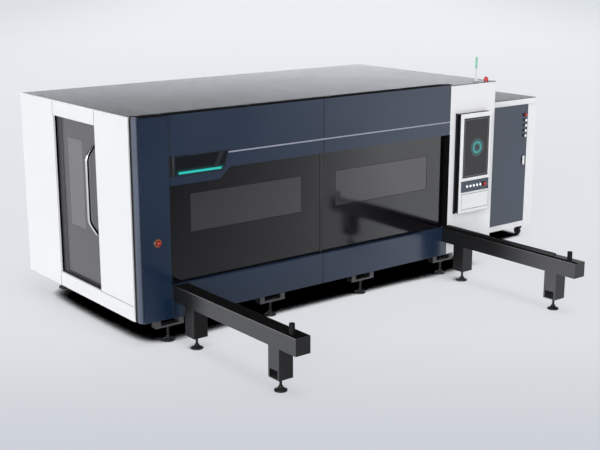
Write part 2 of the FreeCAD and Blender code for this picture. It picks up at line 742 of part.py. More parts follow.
# ---------------------------------------------------------------------------
# Enclosure
# ---------------------------------------------------------------------------
def left_end():
    """White panels of the left end, round the opening of its sliding door."""
    half_seam = d.seam / 2
    front = pan("left_front_panel_body", "x", 0, d.panel_depth,
                (d.white_front, d.end_split_front), (d.end_door_low, d.roof_height), "high")
    node("left_front_panel", front.item)
    rear = pan("left_rear_panel_body", "x", 0, d.panel_depth,
               (d.end_split_rear, d.machine_depth), (d.skirt_height, d.roof_height), "high")
    node("left_rear_panel", rear.item)
    rear_edge = d.end_split_rear - half_seam
    head = pan("door_head", "x", 0, d.panel_depth,
               (d.end_split_front + half_seam, rear_edge), (d.end_door_high, d.roof_height), "high")
    kick = pan("door_kick", "x", 0, d.panel_depth,
               (d.white_front, rear_edge), (d.skirt_height, d.end_door_low - half_seam), "high")
    node("left_door_surround", group("left_door_surround_parts", [head.item, kick.item]))


def rear_and_right():
    """White panels of the back and of the right end."""
    inside = d.machine_length - d.panel_depth * 2
    panels = []
    for number in range(4):
        left = d.panel_depth + inside / 4 * number
        right = left + inside / 4 - d.seam
        panel = pan(f"rear_panel_{number + 1}", "y", back_plane, d.machine_depth,
                    (left, right), (d.skirt_height, ring_top), "low")
        panels.append(panel.item)
    node("rear_panels", group("rear_panels_parts", panels))
    right_end = pan("right_end_panel_body", "x", d.machine_length - d.panel_depth, d.machine_length,
                    (d.frame_front, d.machine_depth), (d.skirt_height, ring_top), "low")
    node("right_end_panel", right_end.item)


def roof():
    """Folded roof panels and the dark cap over the console column."""
    bay = (d.machine_length - d.pillar_seam * 2) / 4
    seams = [d.panel_depth]
    seams += [d.pillar_seam + bay * number for number in range(5)]
    seams.append(d.machine_length + d.seam)
    panels = []
    for number in range(len(seams) - 1):
        panel = pan(f"roof_panel_{number + 1}", "z", ring_top, d.roof_height,
                    (seams[number], seams[number + 1] - d.seam), (d.roof_front, d.machine_depth), "low")
        panels.append(panel.item)
    panels.append(block("column_cap", (d.column_left, d.machine_length), (0, d.frame_front),
                        (d.roof_height - d.column_cap, d.roof_height)))
    node("roof_panels", group("roof_panels_parts", panels))


def corner_strip():
    """Extruded strip on the front left corner, with a chamfer and a set-back flange."""
    outline = [(0, d.strip_side), (0, d.strip_chamfer), (d.strip_chamfer, 0), (d.strip_width, 0),
               (d.strip_width, d.strip_step), (d.pillar_left, d.strip_step), (d.pillar_left, d.fascia_depth),
               (d.strip_width, d.strip_side)]
    body = Body("corner_strip_body").prism("z", d.strip_bottom, d.fascia_top, outline)
    node("corner_strip", body.item)


def front_pillar():
    """Left pillar of the fascia, with the hole of its emergency stop."""
    body = pan("front_pillar_body", "y", 0, d.fascia_depth,
               (d.pillar_left, d.pillar_seam - d.seam / 2), (d.skirt_height, d.fascia_top), "high")
    stop = (d.stop_pillar, d.stop_pillar_height)
    body.prism("y", -d.stop_ring_thick, 0, circles=[(*stop, d.stop_ring_radius)])
    body.cut("y", -d.stop_ring_thick, d.skin, circles=[(*stop, d.stop_stem_radius + d.fit_gap)])
    node("front_pillar", body.item)


def upper_bands():
    """Upper fascia: the left band has a tab that slopes up to its lower edge."""
    half_seam = d.seam / 2
    left = d.pillar_seam + half_seam
    right = d.middle_seam - half_seam
    outline = [(left, d.tab_bottom), (d.tab_right, d.tab_bottom), (d.tab_slope_end, d.band_bottom),
               (right, d.band_bottom), (right, d.fascia_top), (left, d.fascia_top)]
    hollow = rectangle((left + d.skin, right - d.skin), (d.band_bottom + d.skin, d.fascia_top - d.skin))
    body = Body("upper_band_left_body").prism("y", 0, d.fascia_depth, outline)
    body.cut("y", d.skin, d.fascia_depth, hollow)
    node("upper_band_left", body.item)
    body = pan("upper_band_right_body", "y", 0, d.fascia_depth,
               (d.middle_seam + half_seam, d.column_left - d.gap), (d.band_bottom, d.fascia_top), "high")
    node("upper_band_right", body.item)


def lower_fascia():
    """Lower bands and the narrow strip between the front opening and the column."""
    half_seam = d.seam / 2
    level = (d.skirt_height, d.sill)
    left = pan("lower_band_left", "y", 0, d.fascia_depth,
               (d.pillar_seam + half_seam, d.middle_seam - half_seam), level, "high")
    right = pan("lower_band_right", "y", 0, d.fascia_depth,
                (d.middle_seam + half_seam, d.column_left - d.gap), level, "high")
    jamb = block("door_jamb", (d.opening_right, d.column_left), (0, d.fascia_depth), (d.sill, d.band_bottom))
    node("lower_fascia", group("lower_fascia_parts", [left.item, right.item, jamb]))


# ---------------------------------------------------------------------------
# Doors
# ---------------------------------------------------------------------------
def lift_door():
    """Two glazed panels that meet in a groove and lift as one behind the upper band."""
    deep = (d.lift_plane, d.lift_plane + d.lift_thick)
    windows = ((d.pane_1_left, d.pane_1_right), (d.pane_2_left, d.pane_2_right))
    sides = ((d.lift_left, d.lift_seam), (d.lift_seam, d.lift_right))
    panels = []
    panes = []
    for number, (side, window) in enumerate(zip(sides, windows), start=1):
        level = (d.pane_low, d.pane_high)
        body = Body(f"lift_panel_{number}").prism("y", *deep, rectangle(side, (d.lift_bottom, d.lift_top)))
        body.cut("y", *deep, rectangle(window, level))
        body.dressed("Chamfer", d.joint_chamfer, lambda edge: runs_along(edge, "z")
                     and at_level(edge, "x", d.lift_seam) and at_level(edge, "y", d.lift_plane))
        panels.append(body.item)
        front = d.lift_plane + d.pane_recess
        panes.append(block(f"lift_pane_{number}", window, (front, front + d.pane_thick), level))
    node("lift_door_panels", group("lift_door_panels_parts", panels))
    node("lift_door_windows", group("lift_door_windows_parts", panes))


def side_door():
    """Sliding leaf of the left end, its window and its bow handle."""
    deep = (d.leaf_plane, d.leaf_plane + d.leaf_thick)
    window = ((d.leaf_pane_front, d.leaf_pane_rear), (d.leaf_pane_low, d.leaf_pane_high))
    leaf = Body("side_door_leaf_body").prism("x", *deep, rectangle(
        (d.end_split_front - d.leaf_lap, d.end_split_rear + d.leaf_lap), (d.leaf_bottom, d.leaf_top)))
    leaf.cut("x", *deep, rectangle(*window))
    node("side_door_leaf", leaf.item)
    outer = d.leaf_plane + d.pane_recess
    node("side_door_window", block("side_door_pane", (outer, outer + d.pane_thick), *window))
    bow_handle()


def bow_handle():
    """The door's handle: one tube swept along three runs, cut off flush with the leaf."""
    bar = d.leaf_plane - d.bow_reach
    root = d.leaf_plane + d.bow_radius
    over = d.bow_radius / d.bow_reach
    high_root = d.bow_foot_high + (d.bow_foot_high - d.bow_bend_high) * over
    low_root = d.bow_foot_low - (d.bow_bend_low - d.bow_foot_low) * over
    spine = doc.addObject("Sketcher::SketchObject", "bow_spine")
    spine.Placement = FreeCAD.Placement(FreeCAD.Vector(), UPRIGHT)
    place(spine, 0, d.bow_place, 0)
    runs = [(root, low_root), (bar, d.bow_bend_low), (bar, d.bow_bend_high), (root, high_root)]
    draw(spine, runs, closed=False)
    first = FreeCAD.Vector((bar - root).number, 0, (d.bow_bend_low - low_root).number)
    section = doc.addObject("Part::RegularPolygon", "bow_section")
    section.Placement = FreeCAD.Placement(FreeCAD.Vector(), FreeCAD.Rotation(FreeCAD.Vector(0, 0, 1), first))
    bind(section, "Polygon", d.stud_sides)
    bind(section, "Circumradius", d.bow_radius)
    place(section, root, d.bow_place, low_root)
    tube = doc.addObject("Part::Sweep", "bow_tube")
    tube.Sections = [section]
    tube.Spine = (spine, ["Edge1", "Edge2", "Edge3"])
    tube.Solid = True
    tube.Transition = "Right corner"
    behind = block("leaf_side", (d.leaf_plane, d.leaf_plane + d.bow_radius * 4), (0, d.machine_depth),
                   (0, d.roof_height))
    node("side_door_handle", without("bow_handle", tube, behind))


# ---------------------------------------------------------------------------
# Console
# ---------------------------------------------------------------------------
bezel_front = -(d.console_depth + d.bezel_thick)


def console():
    """White column, black housing, white frame, screen and button plate."""
    column = Body("console_column_body").prism("z", d.base_bottom, d.roof_height - d.column_cap, rectangle(
        (d.column_left, d.machine_length), (0, d.frame_front)))
    column.dressed("Fillet", d.column_round, lambda edge: runs_along(edge, "z") and at_level(edge, "y", 0))
    node("console_column", column.item)

    wide = (d.console_left, d.console_right)
    tall = (d.console_low, d.console_high)
    housing = Body("console_housing_body").prism("y", -d.console_depth, 0, rectangle(wide, tall))
    housing.dressed("Fillet", d.console_round, lambda edge: runs_along(edge, "y"))
    node("console_housing", housing.item)

    screen = ((d.screen_left, d.screen_right), (d.screen_low, d.screen_high))
    plate = ((d.plate_left, d.plate_right), (d.plate_low, d.plate_high))
    tray = ((d.tray_left, d.tray_right), (d.tray_low, d.tray_high))
    deep = (bezel_front, -d.console_depth)
    bezel = Body("console_bezel_body").prism("y", *deep, rectangle(wide, tall))
    bezel.cut("y", *deep, rectangle(*screen))
    bezel.cut("y", *deep, rectangle(*plate))
    bezel.cut("y", *deep, rectangle(*tray))
    bezel.dressed("Fillet", d.bezel_round, lambda edge: runs_along(edge, "y")
                  and (at_level(edge, "z", tall[0]) or at_level(edge, "z", tall[1])))
    node("console_bezel", bezel.item)
    glass = (bezel_front + d.screen_recess, deep[1])
    node("console_screen", block("screen_glass", screen[0], glass, screen[1]))

    face = Body("console_button_plate_body").prism("y", *deep, rectangle(*plate))
    holes = [regular(button_place(number), d.button_height, d.button_radius + d.fit_gap, d.round_sides)
             for number in range(5)]
    holes.append(regular(d.stop_console, d.button_height, d.stop_stem_radius + d.fit_gap, d.round_sides))
    face.cut("y", *deep, *holes)
    node("console_button_plate", face.item)

    inset = ((d.tray_left + d.gap, d.tray_right - d.gap), (d.tray_low + d.gap, d.tray_high - d.gap))
    folding = Body("keyboard_tray_body").prism("y", deep[0], deep[1] - d.gap, rectangle(*inset))
    node("keyboard_tray", folding.item)


def button_place(number):
    return d.button_first + d.button_pitch * number


def emergency_stop(name, x, y, z):
    """A mushroom button: its stem runs in its plate, whose face is at y."""
    front = -(d.stop_stem_front + d.stop_cap_proud)
    stop = Body(f"{name}_body").faceted("y", front, -d.stop_stem_front, d.stop_cap_radius, d.round_sides)
    stop.tapered("y", front, d.stop_cap_proud / 2, (d.stop_cap_radius, d.stop_stem_radius), d.round_sides)
    stop.faceted("y", -d.stop_stem_front, d.stop_stem_rear, d.stop_stem_radius, d.round_sides)
    return stop.at(x, y, z).item


def push_buttons():
    """Lit buttons of the console, and the emergency stops of the console and the pillar."""
    for number in range(5):
        length = d.button_proud + d.button_rear
        start = (button_place(number), bezel_front - d.button_proud, d.button_height)
        button = many_sided(f"button_{number + 1}", "y", start, length, d.button_radius, d.round_sides)
        node(f"console_button_{number + 1}", button)
    node("console_stop", emergency_stop("console_stop", d.stop_console, bezel_front, d.button_height))
    pillar_stop = emergency_stop("pillar_stop", d.stop_pillar, -d.stop_ring_thick, d.stop_pillar_height)
    node("pillar_stop", pillar_stop)


# ---------------------------------------------------------------------------
# Beacon and alarm lamp
# ---------------------------------------------------------------------------
def signal_lamps():
    """A thin beacon with a tall lamp, and a small round alarm lamp."""
    flange = d.beacon_base_height
    neck = d.beacon_neck_height
    pole = Body("beacon_stem").faceted("z", flange, neck, d.beacon_base_radius / 2, d.round_sides)
    pole.tapered("z", neck, neck - flange - d.skin, (d.beacon_base_radius / 2, d.beacon_pole_radius),
                 d.round_sides)
    pole.faceted("z", 0, flange, d.beacon_base_radius, d.round_sides)
    pole.faceted("z", neck, d.beacon_lamp_low, d.beacon_pole_radius, d.round_sides)
    node("beacon_pole", pole.at(d.beacon_place, d.beacon_back, d.roof_height).item)
    start = (d.beacon_place, d.beacon_back, d.roof_height + d.beacon_lamp_low)
    length = d.beacon_lamp_high - d.beacon_lamp_low
    node("beacon_lamp", many_sided("lamp_tube", "z", start, length, d.beacon_lamp_radius, d.stud_sides))

    top = d.alarm_base + d.alarm_radius
    slope = d.alarm_radius * 0.7
    dome = Body("alarm_dome").faceted("z", 0, top, d.alarm_radius, d.round_sides)
    dome.tapered("z", top, slope, (d.alarm_radius, d.alarm_radius / 3), d.round_sides)
    dome.dressed("Chamfer", d.beacon_base_height, lambda edge: at_level(edge, "z", top - slope))
    node("alarm_lamp", dome.at(d.alarm_place, d.alarm_back, d.roof_height).item)


# ---------------------------------------------------------------------------
# Outfeed rails
# ---------------------------------------------------------------------------
def box_tube(name, x, y, z):
    """A closed square tube along Y: the walls and both end plates."""
    inside = block(f"{name}_inside", (size(x[0]) + d.rail_wall, size(x[1]) - d.rail_wall),
                   (size(y[0]) + d.rail_wall, size(y[1]) - d.rail_wall),
                   (size(z[0]) + d.rail_wall, size(z[1]) - d.rail_wall))
    return without(name, block(f"{name}_outside", x, y, z), inside)


def outfeed_rail(side, left):
    """A box rail with its end cap on two square legs: the far leg has a window low in its left face."""
    wide = (left, left + d.rail_size)
    low = d.sill - d.rail_size
    parts = [box_tube(f"rail_tube_{side}", wide, (-d.rail_reach, 0), (low, d.sill))]
    half = d.leg_size / 2
    middle = left + d.rail_size / 2
    for reach, y in (("near", -d.leg_near), ("far", -d.leg_far)):
        leg = box_tube(f"leg_{side}_{reach}", (middle - half, middle + half), (y - half, y + half),
                       (d.leg_bottom, low))
        if reach == "far":
            opening = block(f"leg_window_{side}", (middle - half, middle - half + d.rail_wall),
                            (y - d.window_width / 2, y + d.window_width / 2), (d.window_low, d.window_high))
            leg = without(f"leg_{side}_cut", leg, opening)
        parts.append(leg)
    if side == "right":
        parts.append(block("guide_strip", (d.guide_left, d.guide_left + d.guide_strip_width),
                           (-d.guide_strip_end, 0), (d.sill, d.sill + d.guide_strip_height)))
    node(f"outfeed_rail_{side}", group(f"outfeed_rail_{side}_parts", parts))


def rail_stops():
    """Eight-sided stop posts near the rails' ends."""
    flat = d.stop_post / 2
    corner = flat * math.tan(math.radians(22.5))
    outline = [(corner, -flat), (flat, -corner), (flat, corner), (corner, flat),
               (-corner, flat), (-flat, corner), (-flat, -corner), (-corner, -flat)]
    posts = []
    for side, left in (("left", d.rail_left), ("right", d.rail_right)):
        body = Body(f"stop_post_{side}").prism("z", 0, d.stop_post_height, outline)
        x = left + d.stop_post_inset + flat
        posts.append(body.at(x, -d.stop_post_place, d.sill).item)
    node("rail_stops", group("rail_stops_parts", posts))


# ---------------------------------------------------------------------------
# Work table
# ---------------------------------------------------------------------------
axle_height = d.sill + d.wheel_radius


def table():
    """Welded frame with bearing holes, toothed slats and two wheel sets."""
    deck = (d.table_low, d.table_deck)
    sides = ((d.table_left, d.table_left + d.table_bar), (d.table_right - d.table_bar, d.table_right))
    axles = [(d.table_front + d.axle_inset, axle_height, d.axle_radius + d.axle_gap),
             (d.table_rear - d.axle_inset, axle_height, d.axle_radius + d.axle_gap)]
    bars = []
    for number, side in enumerate(sides, start=1):
        body = Body(f"table_side_{number}").prism("z", *deck, rectangle(side, (d.table_front, d.table_rear)))
        body.cut("x", *side, circles=axles)
        bars.append(body.item)
    bay = (d.table_rear - d.table_front - d.table_bar) / 4
    for number in range(5):
        front = d.table_front + bay * number
        bars.append(block(f"table_bar_{number + 1}", (sides[0][1], sides[1][0]),
                          (front, front + d.table_bar), deck))
    node("table_frame", group("table_frame_parts", bars))
    node("table_slats", group("table_slats_parts", [slat(number) for number in range(d.slat_count.number)]))
    for name, y in (("front", axles[0][0]), ("rear", axles[1][0])):
        wheel_set(name, y)


def slat(number):
    """One support slat with a row of pointed teeth."""
    pitch = (d.slat_rear - d.slat_front) / d.slat_teeth
    outline = [(d.slat_front, d.slat_root), (d.slat_front, d.table_deck), (d.slat_rear, d.table_deck),
               (d.slat_rear, d.slat_root)]
    for tooth in range(d.slat_teeth.number):
        outline.append((d.slat_rear - pitch * (tooth + 0.5), d.slat_tip))
        if tooth < d.slat_teeth.number - 1:
            outline.append((d.slat_rear - pitch * (tooth + 1), d.slat_root))
    first = (d.table_left + d.table_right - d.slat_pitch * (d.slat_count - 1)) / 2
    body = Body(f"slat_{number + 1}").prism("x", 0, d.slat_thick, outline)
    return body.at(x=first + d.slat_pitch * number - d.slat_thick / 2).item


def wheel_set(name, y):
    """A table axle with a wheel at each end."""
    start = d.table_left - d.wheel_gap - d.wheel_width
    end = d.table_right + d.wheel_gap + d.wheel_width
    outline = [(start, 0), (start, d.wheel_radius), (start + d.wheel_width, d.wheel_radius),
               (start + d.wheel_width, d.axle_radius), (end - d.wheel_width, d.axle_radius),
               (end - d.wheel_width, d.wheel_radius), (end, d.wheel_radius), (end, 0)]
    body = Body(f"table_wheels_{name}_body").turned("y", outline, "H").at(0, y, axle_height)
    node(f"table_wheels_{name}", body.item)


# ---------------------------------------------------------------------------
# Gantry
# ---------------------------------------------------------------------------
guide_top = d.runway_high + d.linear_guide
beam_low = guide_top + d.truck_tall
beam_high = beam_low + d.beam_tall


def gantry():
    """Box beam on two trucks, the head carriage on its right side and the cutting head on its slide."""
    along = (d.gantry_place - d.beam_half, d.gantry_place + d.beam_half)
    rear = d.runway_rear + d.runway_side
    outer = rectangle(along, (beam_low, beam_high))
    inner = rectangle((along[0] + d.beam_wall, along[1] - d.beam_wall),
                      (beam_low + d.beam_wall, beam_high - d.beam_wall))
    beam = Body("gantry_tube").prism("y", d.frame_front, rear, outer, inner)
    guides = []
    side = (along[1], along[1] + d.linear_guide / 2)
    for number, low in enumerate((beam_low + d.linear_guide, beam_high - d.linear_guide * 2), start=1):
        guides.append(block(f"beam_guide_{number}", side, (d.frame_front, rear), (low, low + d.linear_guide)))
    for end, front in (("front", d.frame_front), ("rear", d.runway_rear)):
        guides.append(block(f"truck_{end}", (d.gantry_place - d.truck_half, d.gantry_place + d.truck_half),
                            (front, front + d.runway_side), (guide_top, beam_low)))
    node("gantry_beam", group("gantry_beam_parts", [beam.item] + guides))

    face = side[1]
    plate = block("carriage_plate", (face, face + d.carriage_thick),
                  (d.head_rest - d.carriage_half, d.head_rest + d.carriage_half), (beam_low, beam_high))
    motor = many_sided("lift_motor", "z", (face + d.head_out, d.head_rest, beam_high), d.carriage_half,
                       d.motor_radius, d.round_sides)
    shelf = block("motor_shelf", (face, face + d.head_out * 1.5),
                  (d.head_rest - d.head_out / 2, d.head_rest + d.head_out / 2),
                  (beam_high - d.carriage_thick, beam_high))
    node("head_carriage", fused("head_carriage_whole", [plate, shelf, motor]))

    slide_face = face + d.carriage_thick
    cutting_head(slide_face)


def cutting_head(slide_face):
    """Slide plate, bracket and a barrel that narrows to the nozzle, as one piece that moves up and down."""
    axis_x = slide_face + d.head_out - d.carriage_thick
    wide = d.head_out / 2
    narrow = wide * 0.7
    tip = d.nozzle_rest
    top = beam_low - d.gap
    cone = tip + d.linear_guide
    collar = cone + wide * 2 + d.linear_guide
    barrel = []
    for name, low, high, slope, radii in (
            ("collar", collar, top, d.linear_guide, (wide, narrow)),
            ("neck", cone, collar, wide, (narrow, d.axle_radius)),
            ("nozzle", tip, cone, d.axle_radius, (d.axle_radius, d.axle_radius / 3))):
        body = Body(f"head_{name}").faceted("z", low, high, radii[0], d.round_sides)
        barrel.append(body.tapered("z", low, slope, radii, d.round_sides).at(axis_x, d.head_rest).item)
    bracket_low = beam_low - d.beam_half
    plate = block("head_slide", (slide_face, slide_face + d.head_slide_thick),
                  (d.head_rest - wide, d.head_rest + wide), (bracket_low, beam_high - d.truck_tall * 3))
    bracket = block("head_bracket", (slide_face, axis_x),
                    (d.head_rest - wide / 2, d.head_rest + wide / 2), (bracket_low, top - d.truck_tall))
    node("cutting_head", fused("cutting_head_whole", barrel + [plate, bracket]))


# ---------------------------------------------------------------------------
# Laser cabinet
# ---------------------------------------------------------------------------
cabinet_rear = d.cabinet_front + d.cabinet_depth
door_left = d.cabinet_left + d.cabinet_post
door_right = d.cabinet_right - d.cabinet_post
door_low = d.cabinet_low + d.cabinet_rail


def cabinet_shell():
    """White cabinet with an open front, its castors' rear forks and its top."""
    wide = (d.cabinet_left, d.cabinet_right)
    deep = (d.cabinet_front, cabinet_rear)
    inside = ((wide[0] + d.cabinet_wall, wide[1] - d.cabinet_wall),
              (deep[0] + d.cabinet_wall, deep[1] - d.cabinet_wall))
    shell = Body("cabinet_walls").prism("z", d.cabinet_low, d.cabinet_high, rectangle(wide, deep))
    opening = rectangle((door_left, door_right), (door_low, d.cabinet_high))
    shell.cut("y", deep[0], deep[0] + d.cabinet_wall, opening)
    shell.cut("z", d.cabinet_low + d.cabinet_wall, d.cabinet_high, rectangle(*inside))
    rear_forks = [castor_fork(f"rear_{side}", x, cabinet_rear - d.castor_inset_y)
                  for side, x in castor_sides()]
    node("cabinet_shell", group("cabinet_shell_parts", [shell.item] + rear_forks))

    lip = d.cabinet_lip
    rim = rectangle((wide[0] - lip, wide[1] + lip), (deep[0] - lip, deep[1] + lip))
    field = rectangle((wide[0] + lip * 2, wide[1] - lip * 2), (deep[0] + lip * 2, deep[1] - lip * 2))
    top = Body("cabinet_top_body").prism("z", d.cabinet_high, d.cabinet_top, rim)
    top.cut("z", d.cabinet_top - d.skin, d.cabinet_top, field)
    node("cabinet_top", top.item)


def castor_sides():
    return (("left", d.cabinet_left + d.castor_inset_x), ("right", d.cabinet_right - d.castor_inset_x))


def castor_fork(name, x, y):
    """Swivel head, bridge and two cheeks with the axle of one castor."""
    inner = d.castor_width / 2 + d.castor_cheek_gap
    outer = inner + d.castor_plate
    bridge_top = d.cabinet_low - d.castor_plate
    bridge_low = d.castor_radius * 2 + d.castor_plate
    parts = [many_sided(f"swivel_head_{name}", "z", (x, y, bridge_top), d.castor_plate, d.castor_head,
                        d.round_sides)]
    slope = d.castor_trail + d.castor_pin * 2
    wide = d.castor_trail / 2
    low = d.castor_radius - d.castor_pin * 2
    cheek = [(-wide, bridge_top), (-wide, bridge_low), (d.castor_trail - d.castor_pin * 2, low),
             (slope, low), (slope, bridge_low), (wide, bridge_top)]
    for number, inside in enumerate((-outer, inner), start=1):
        body = Body(f"cheek_{number}_{name}").prism("x", inside, inside + d.castor_plate, cheek)
        parts.append(body.at(x, y).item)
    parts.append(block(f"bridge_{name}", (x - inner, x + inner), (y - wide, y + wide),
                       (bridge_top - d.castor_plate, bridge_top)))
    axle = (size(x) - outer, size(y) + d.castor_trail, d.castor_radius)
    parts.append(many_sided(f"castor_axle_{name}", "x", axle, outer * 2, d.castor_pin, d.stud_sides))
    return fused(f"castor_fork_{name}_whole", parts)


def castors():
    """The front castors swivel; every castor's wheel turns on its axle."""
    front = d.cabinet_front + d.castor_inset_y
    rear = cabinet_rear - d.castor_inset_y
    for side, x in castor_sides():
        node(f"castor_fork_{side}", castor_fork(f"front_{side}", x, front))
        for end, y in (("front", front), ("rear", rear)):
            node(f"castor_wheel_{end}_{side}", castor_wheel(f"wheel_{end}_{side}", x, y + d.castor_trail))


def castor_wheel(name, x, y):
    """A wheel with chamfered edges; the flats of its bore clear the corners of its axle."""
    half = d.castor_width / 2
    bore = (d.castor_pin + d.axle_gap) / math.cos(math.pi / d.stud_sides.number)
    wheel = Body(name).faceted("x", -half, half, d.castor_radius, d.wheel_sides)
    wheel.dressed("Chamfer", d.castor_cheek_gap * 2, lambda edge: not runs_along(edge, "x"))
    wheel.faceted("x", -half, half, bore, d.stud_sides, "Subtractive")
    return wheel.at(x, y, d.castor_radius).item


def cabinet_door():
    """Navy door with its lamps' collars, its emergency stop and its lever."""
    front = (d.cabinet_front, d.cabinet_front + d.cabinet_door_thick)
    door = Body("cabinet_door_body").prism("y", *front, rectangle(
        (door_left + d.gap, door_right - d.gap), (door_low + d.gap, d.cabinet_high - d.gap)))
    stop_hole = (d.cabinet_button_x, d.cabinet_stop_z, d.stop_stem_radius + d.fit_gap)
    door.cut("y", *front, circles=[stop_hole])
    lamps = [d.lamp_first_z - d.lamp_pitch * number for number in range(4)]
    collars = [regular(d.cabinet_button_x, z, d.lamp_radius, d.stud_sides) for z in lamps]
    door.prism("y", d.cabinet_front - d.lamp_proud, d.cabinet_front, *collars)
    boss = regular(d.lever_x, d.lever_pivot, d.lever_half - d.castor_cheek_gap, d.stud_sides)
    door.prism("y", d.cabinet_front - d.lever_gap, d.cabinet_front, boss)
    node("cabinet_door", door.item)
    stop = emergency_stop("cabinet_stop", d.cabinet_button_x, d.cabinet_front, d.cabinet_stop_z)
    node("cabinet_stop", stop)

    lever_rear = d.cabinet_front - d.lever_gap
    lever = Body("cabinet_lever_body").prism("y", lever_rear - d.lever_thick, lever_rear, rectangle(
        (d.lever_x - d.lever_half, d.lever_x + d.lever_half), (d.lever_low, d.lever_high)))
    lever.dressed("Fillet", d.bezel_round, lambda edge: runs_along(edge, "y"))
    node("cabinet_lever", lever.item)


def laser_source():
    """Ribbed laser source that stands on the cabinet's floor."""
    body = Body("laser_source_body").prism("z", d.cabinet_low + d.cabinet_wall, d.source_high, rectangle(
        (d.source_left, d.source_right), (d.source_front, d.source_rear)))
    pitch = (d.source_right - d.source_left) / d.source_ribs
    for number in range(d.source_ribs.number):
        left = d.source_left + pitch * number + d.source_rib / 2
        body.prism("z", d.source_high, d.source_high + d.source_rib * 2, rectangle(
            (left, left + d.source_rib), (d.source_front + d.source_rib, d.source_rear - d.source_rib)))
    node("laser_source", body.item)


def cable_duct():
    """Closed duct between the machine's right end and the cabinet, with a flange at each end."""
    deep = (d.duct_front, d.duct_rear)
    level = (d.duct_low, d.duct_high)
    lip = d.duct_flange
    ends = (d.machine_length, d.cabinet_left)
    duct = Body("cable_duct_body").prism("x", *ends, rectangle(deep, level))
    flange = rectangle((deep[0] - lip, deep[1] + lip), (level[0] - lip, level[1] + lip))
    for low, high in ((ends[0], ends[0] + d.skin), (ends[1] - d.skin, ends[1])):
        duct.prism("x", low, high, flange)
    node("cable_duct", duct.item)


# ---------------------------------------------------------------------------
# The whole machine
# ---------------------------------------------------------------------------
def build():
    for section in (frame, levelling_feet, runways, scrap_tray, left_end, rear_and_right, roof,
                    corner_strip, front_pillar, upper_bands, lower_fascia, lift_door, side_door, console,
                    push_buttons, signal_lamps, table, gantry, cabinet_shell, castors, cabinet_door,
                    laser_source, cable_duct):
        section()
    outfeed_rail("left", d.rail_left)
    outfeed_rail("right", d.rail_right)
    rail_stops()
    doc.recompute()


def check():
    """Stop if any object failed or any piece has no valid solid."""
    for item in doc.Objects:
        if "Invalid" in item.State or "Error" in item.State:
            raise RuntimeError(f"{item.Name} failed: {item.State}")
    for item in nodes:
        if item.Shape.isNull() or not item.Shape.isValid() or not item.Shape.Solids:
            raise RuntimeError(f"{item.Label} has no valid solid")


def write():
    """Write each piece's solids to its own file."""
    os.makedirs("parts", exist_ok=True)
    for item in nodes:
        item.Shape.exportStep(f"parts/{item.Label}.step")
    print(f"{len(nodes)} pieces written")


build()
check()
write()
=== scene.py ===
# %% [markdown]
# # A fiber laser cutting machine
#
# The machine cuts sheet metal inside a closed cabin. A toothed table carries the sheet out
# at the front, on two long rails, while the front door goes up. This lesson dresses the
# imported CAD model: flat solids become painted sheet, glass, rubber and machined steel.
#
# Places and lengths on the machine are in millimetres, counted from three places that are
# easy to find on the real one: its left end, the face of its front panels, and the floor.
# The studio and the node trees use metres, as Blender does.

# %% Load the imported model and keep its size
import json
import math

import bmesh
import bpy
from mathutils import Matrix, Vector

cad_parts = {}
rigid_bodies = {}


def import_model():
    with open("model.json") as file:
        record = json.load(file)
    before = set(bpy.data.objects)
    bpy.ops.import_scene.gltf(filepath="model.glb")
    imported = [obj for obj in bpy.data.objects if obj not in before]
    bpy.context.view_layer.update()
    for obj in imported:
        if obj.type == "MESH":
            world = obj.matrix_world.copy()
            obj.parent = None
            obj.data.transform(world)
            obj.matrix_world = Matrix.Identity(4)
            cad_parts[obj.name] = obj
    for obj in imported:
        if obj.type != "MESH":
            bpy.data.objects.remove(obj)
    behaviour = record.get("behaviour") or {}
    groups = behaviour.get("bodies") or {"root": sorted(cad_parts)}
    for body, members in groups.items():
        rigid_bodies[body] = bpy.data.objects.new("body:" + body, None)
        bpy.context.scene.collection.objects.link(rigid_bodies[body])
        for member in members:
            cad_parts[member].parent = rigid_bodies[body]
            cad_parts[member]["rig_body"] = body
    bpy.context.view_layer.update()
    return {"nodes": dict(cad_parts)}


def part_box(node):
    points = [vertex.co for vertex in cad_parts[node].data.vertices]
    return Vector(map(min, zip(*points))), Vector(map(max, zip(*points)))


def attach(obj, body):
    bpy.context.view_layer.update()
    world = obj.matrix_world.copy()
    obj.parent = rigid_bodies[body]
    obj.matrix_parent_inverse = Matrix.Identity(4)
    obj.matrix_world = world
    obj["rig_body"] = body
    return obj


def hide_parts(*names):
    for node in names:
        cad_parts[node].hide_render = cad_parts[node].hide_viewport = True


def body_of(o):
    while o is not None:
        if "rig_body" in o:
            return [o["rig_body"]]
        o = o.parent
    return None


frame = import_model()
left_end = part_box("left_rear_panel")[0].x
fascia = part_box("lower_fascia")[0].y


def at(x, y, z):
    """A point given in millimetres from the left end, from the fascia and from the floor."""
    return Vector((left_end + x / 1000, fascia + y / 1000, z / 1000))


# %% [markdown]
# ## Camera
#
# The picture was taken with a long lens from the front left, from above the roof. Two long
# edges that run away from the lens, and the upright edges, give its turn and its tilt, and
# the machine's length gives the distance. The camera comes first, so that each later piece
# can be looked at from the right place.

# %% Place the camera
LENS = 66.7
FAR_LIMIT = 400
CAMERA_PLACE = (-4760, -8388, 3572)
CAMERA_TILT = 75.92
CAMERA_TURN = -38.14

camera = bpy.data.objects.new("camera", bpy.data.cameras.new("camera"))
bpy.context.scene.collection.objects.link(camera)
bpy.context.scene.camera = camera
camera.data.lens = LENS
camera.data.clip_end = FAR_LIMIT
camera.location = at(*CAMERA_PLACE)
camera.rotation_euler = (math.radians(CAMERA_TILT), 0, math.radians(CAMERA_TURN))
print("camera at", tuple(round(c, 3) for c in camera.location))

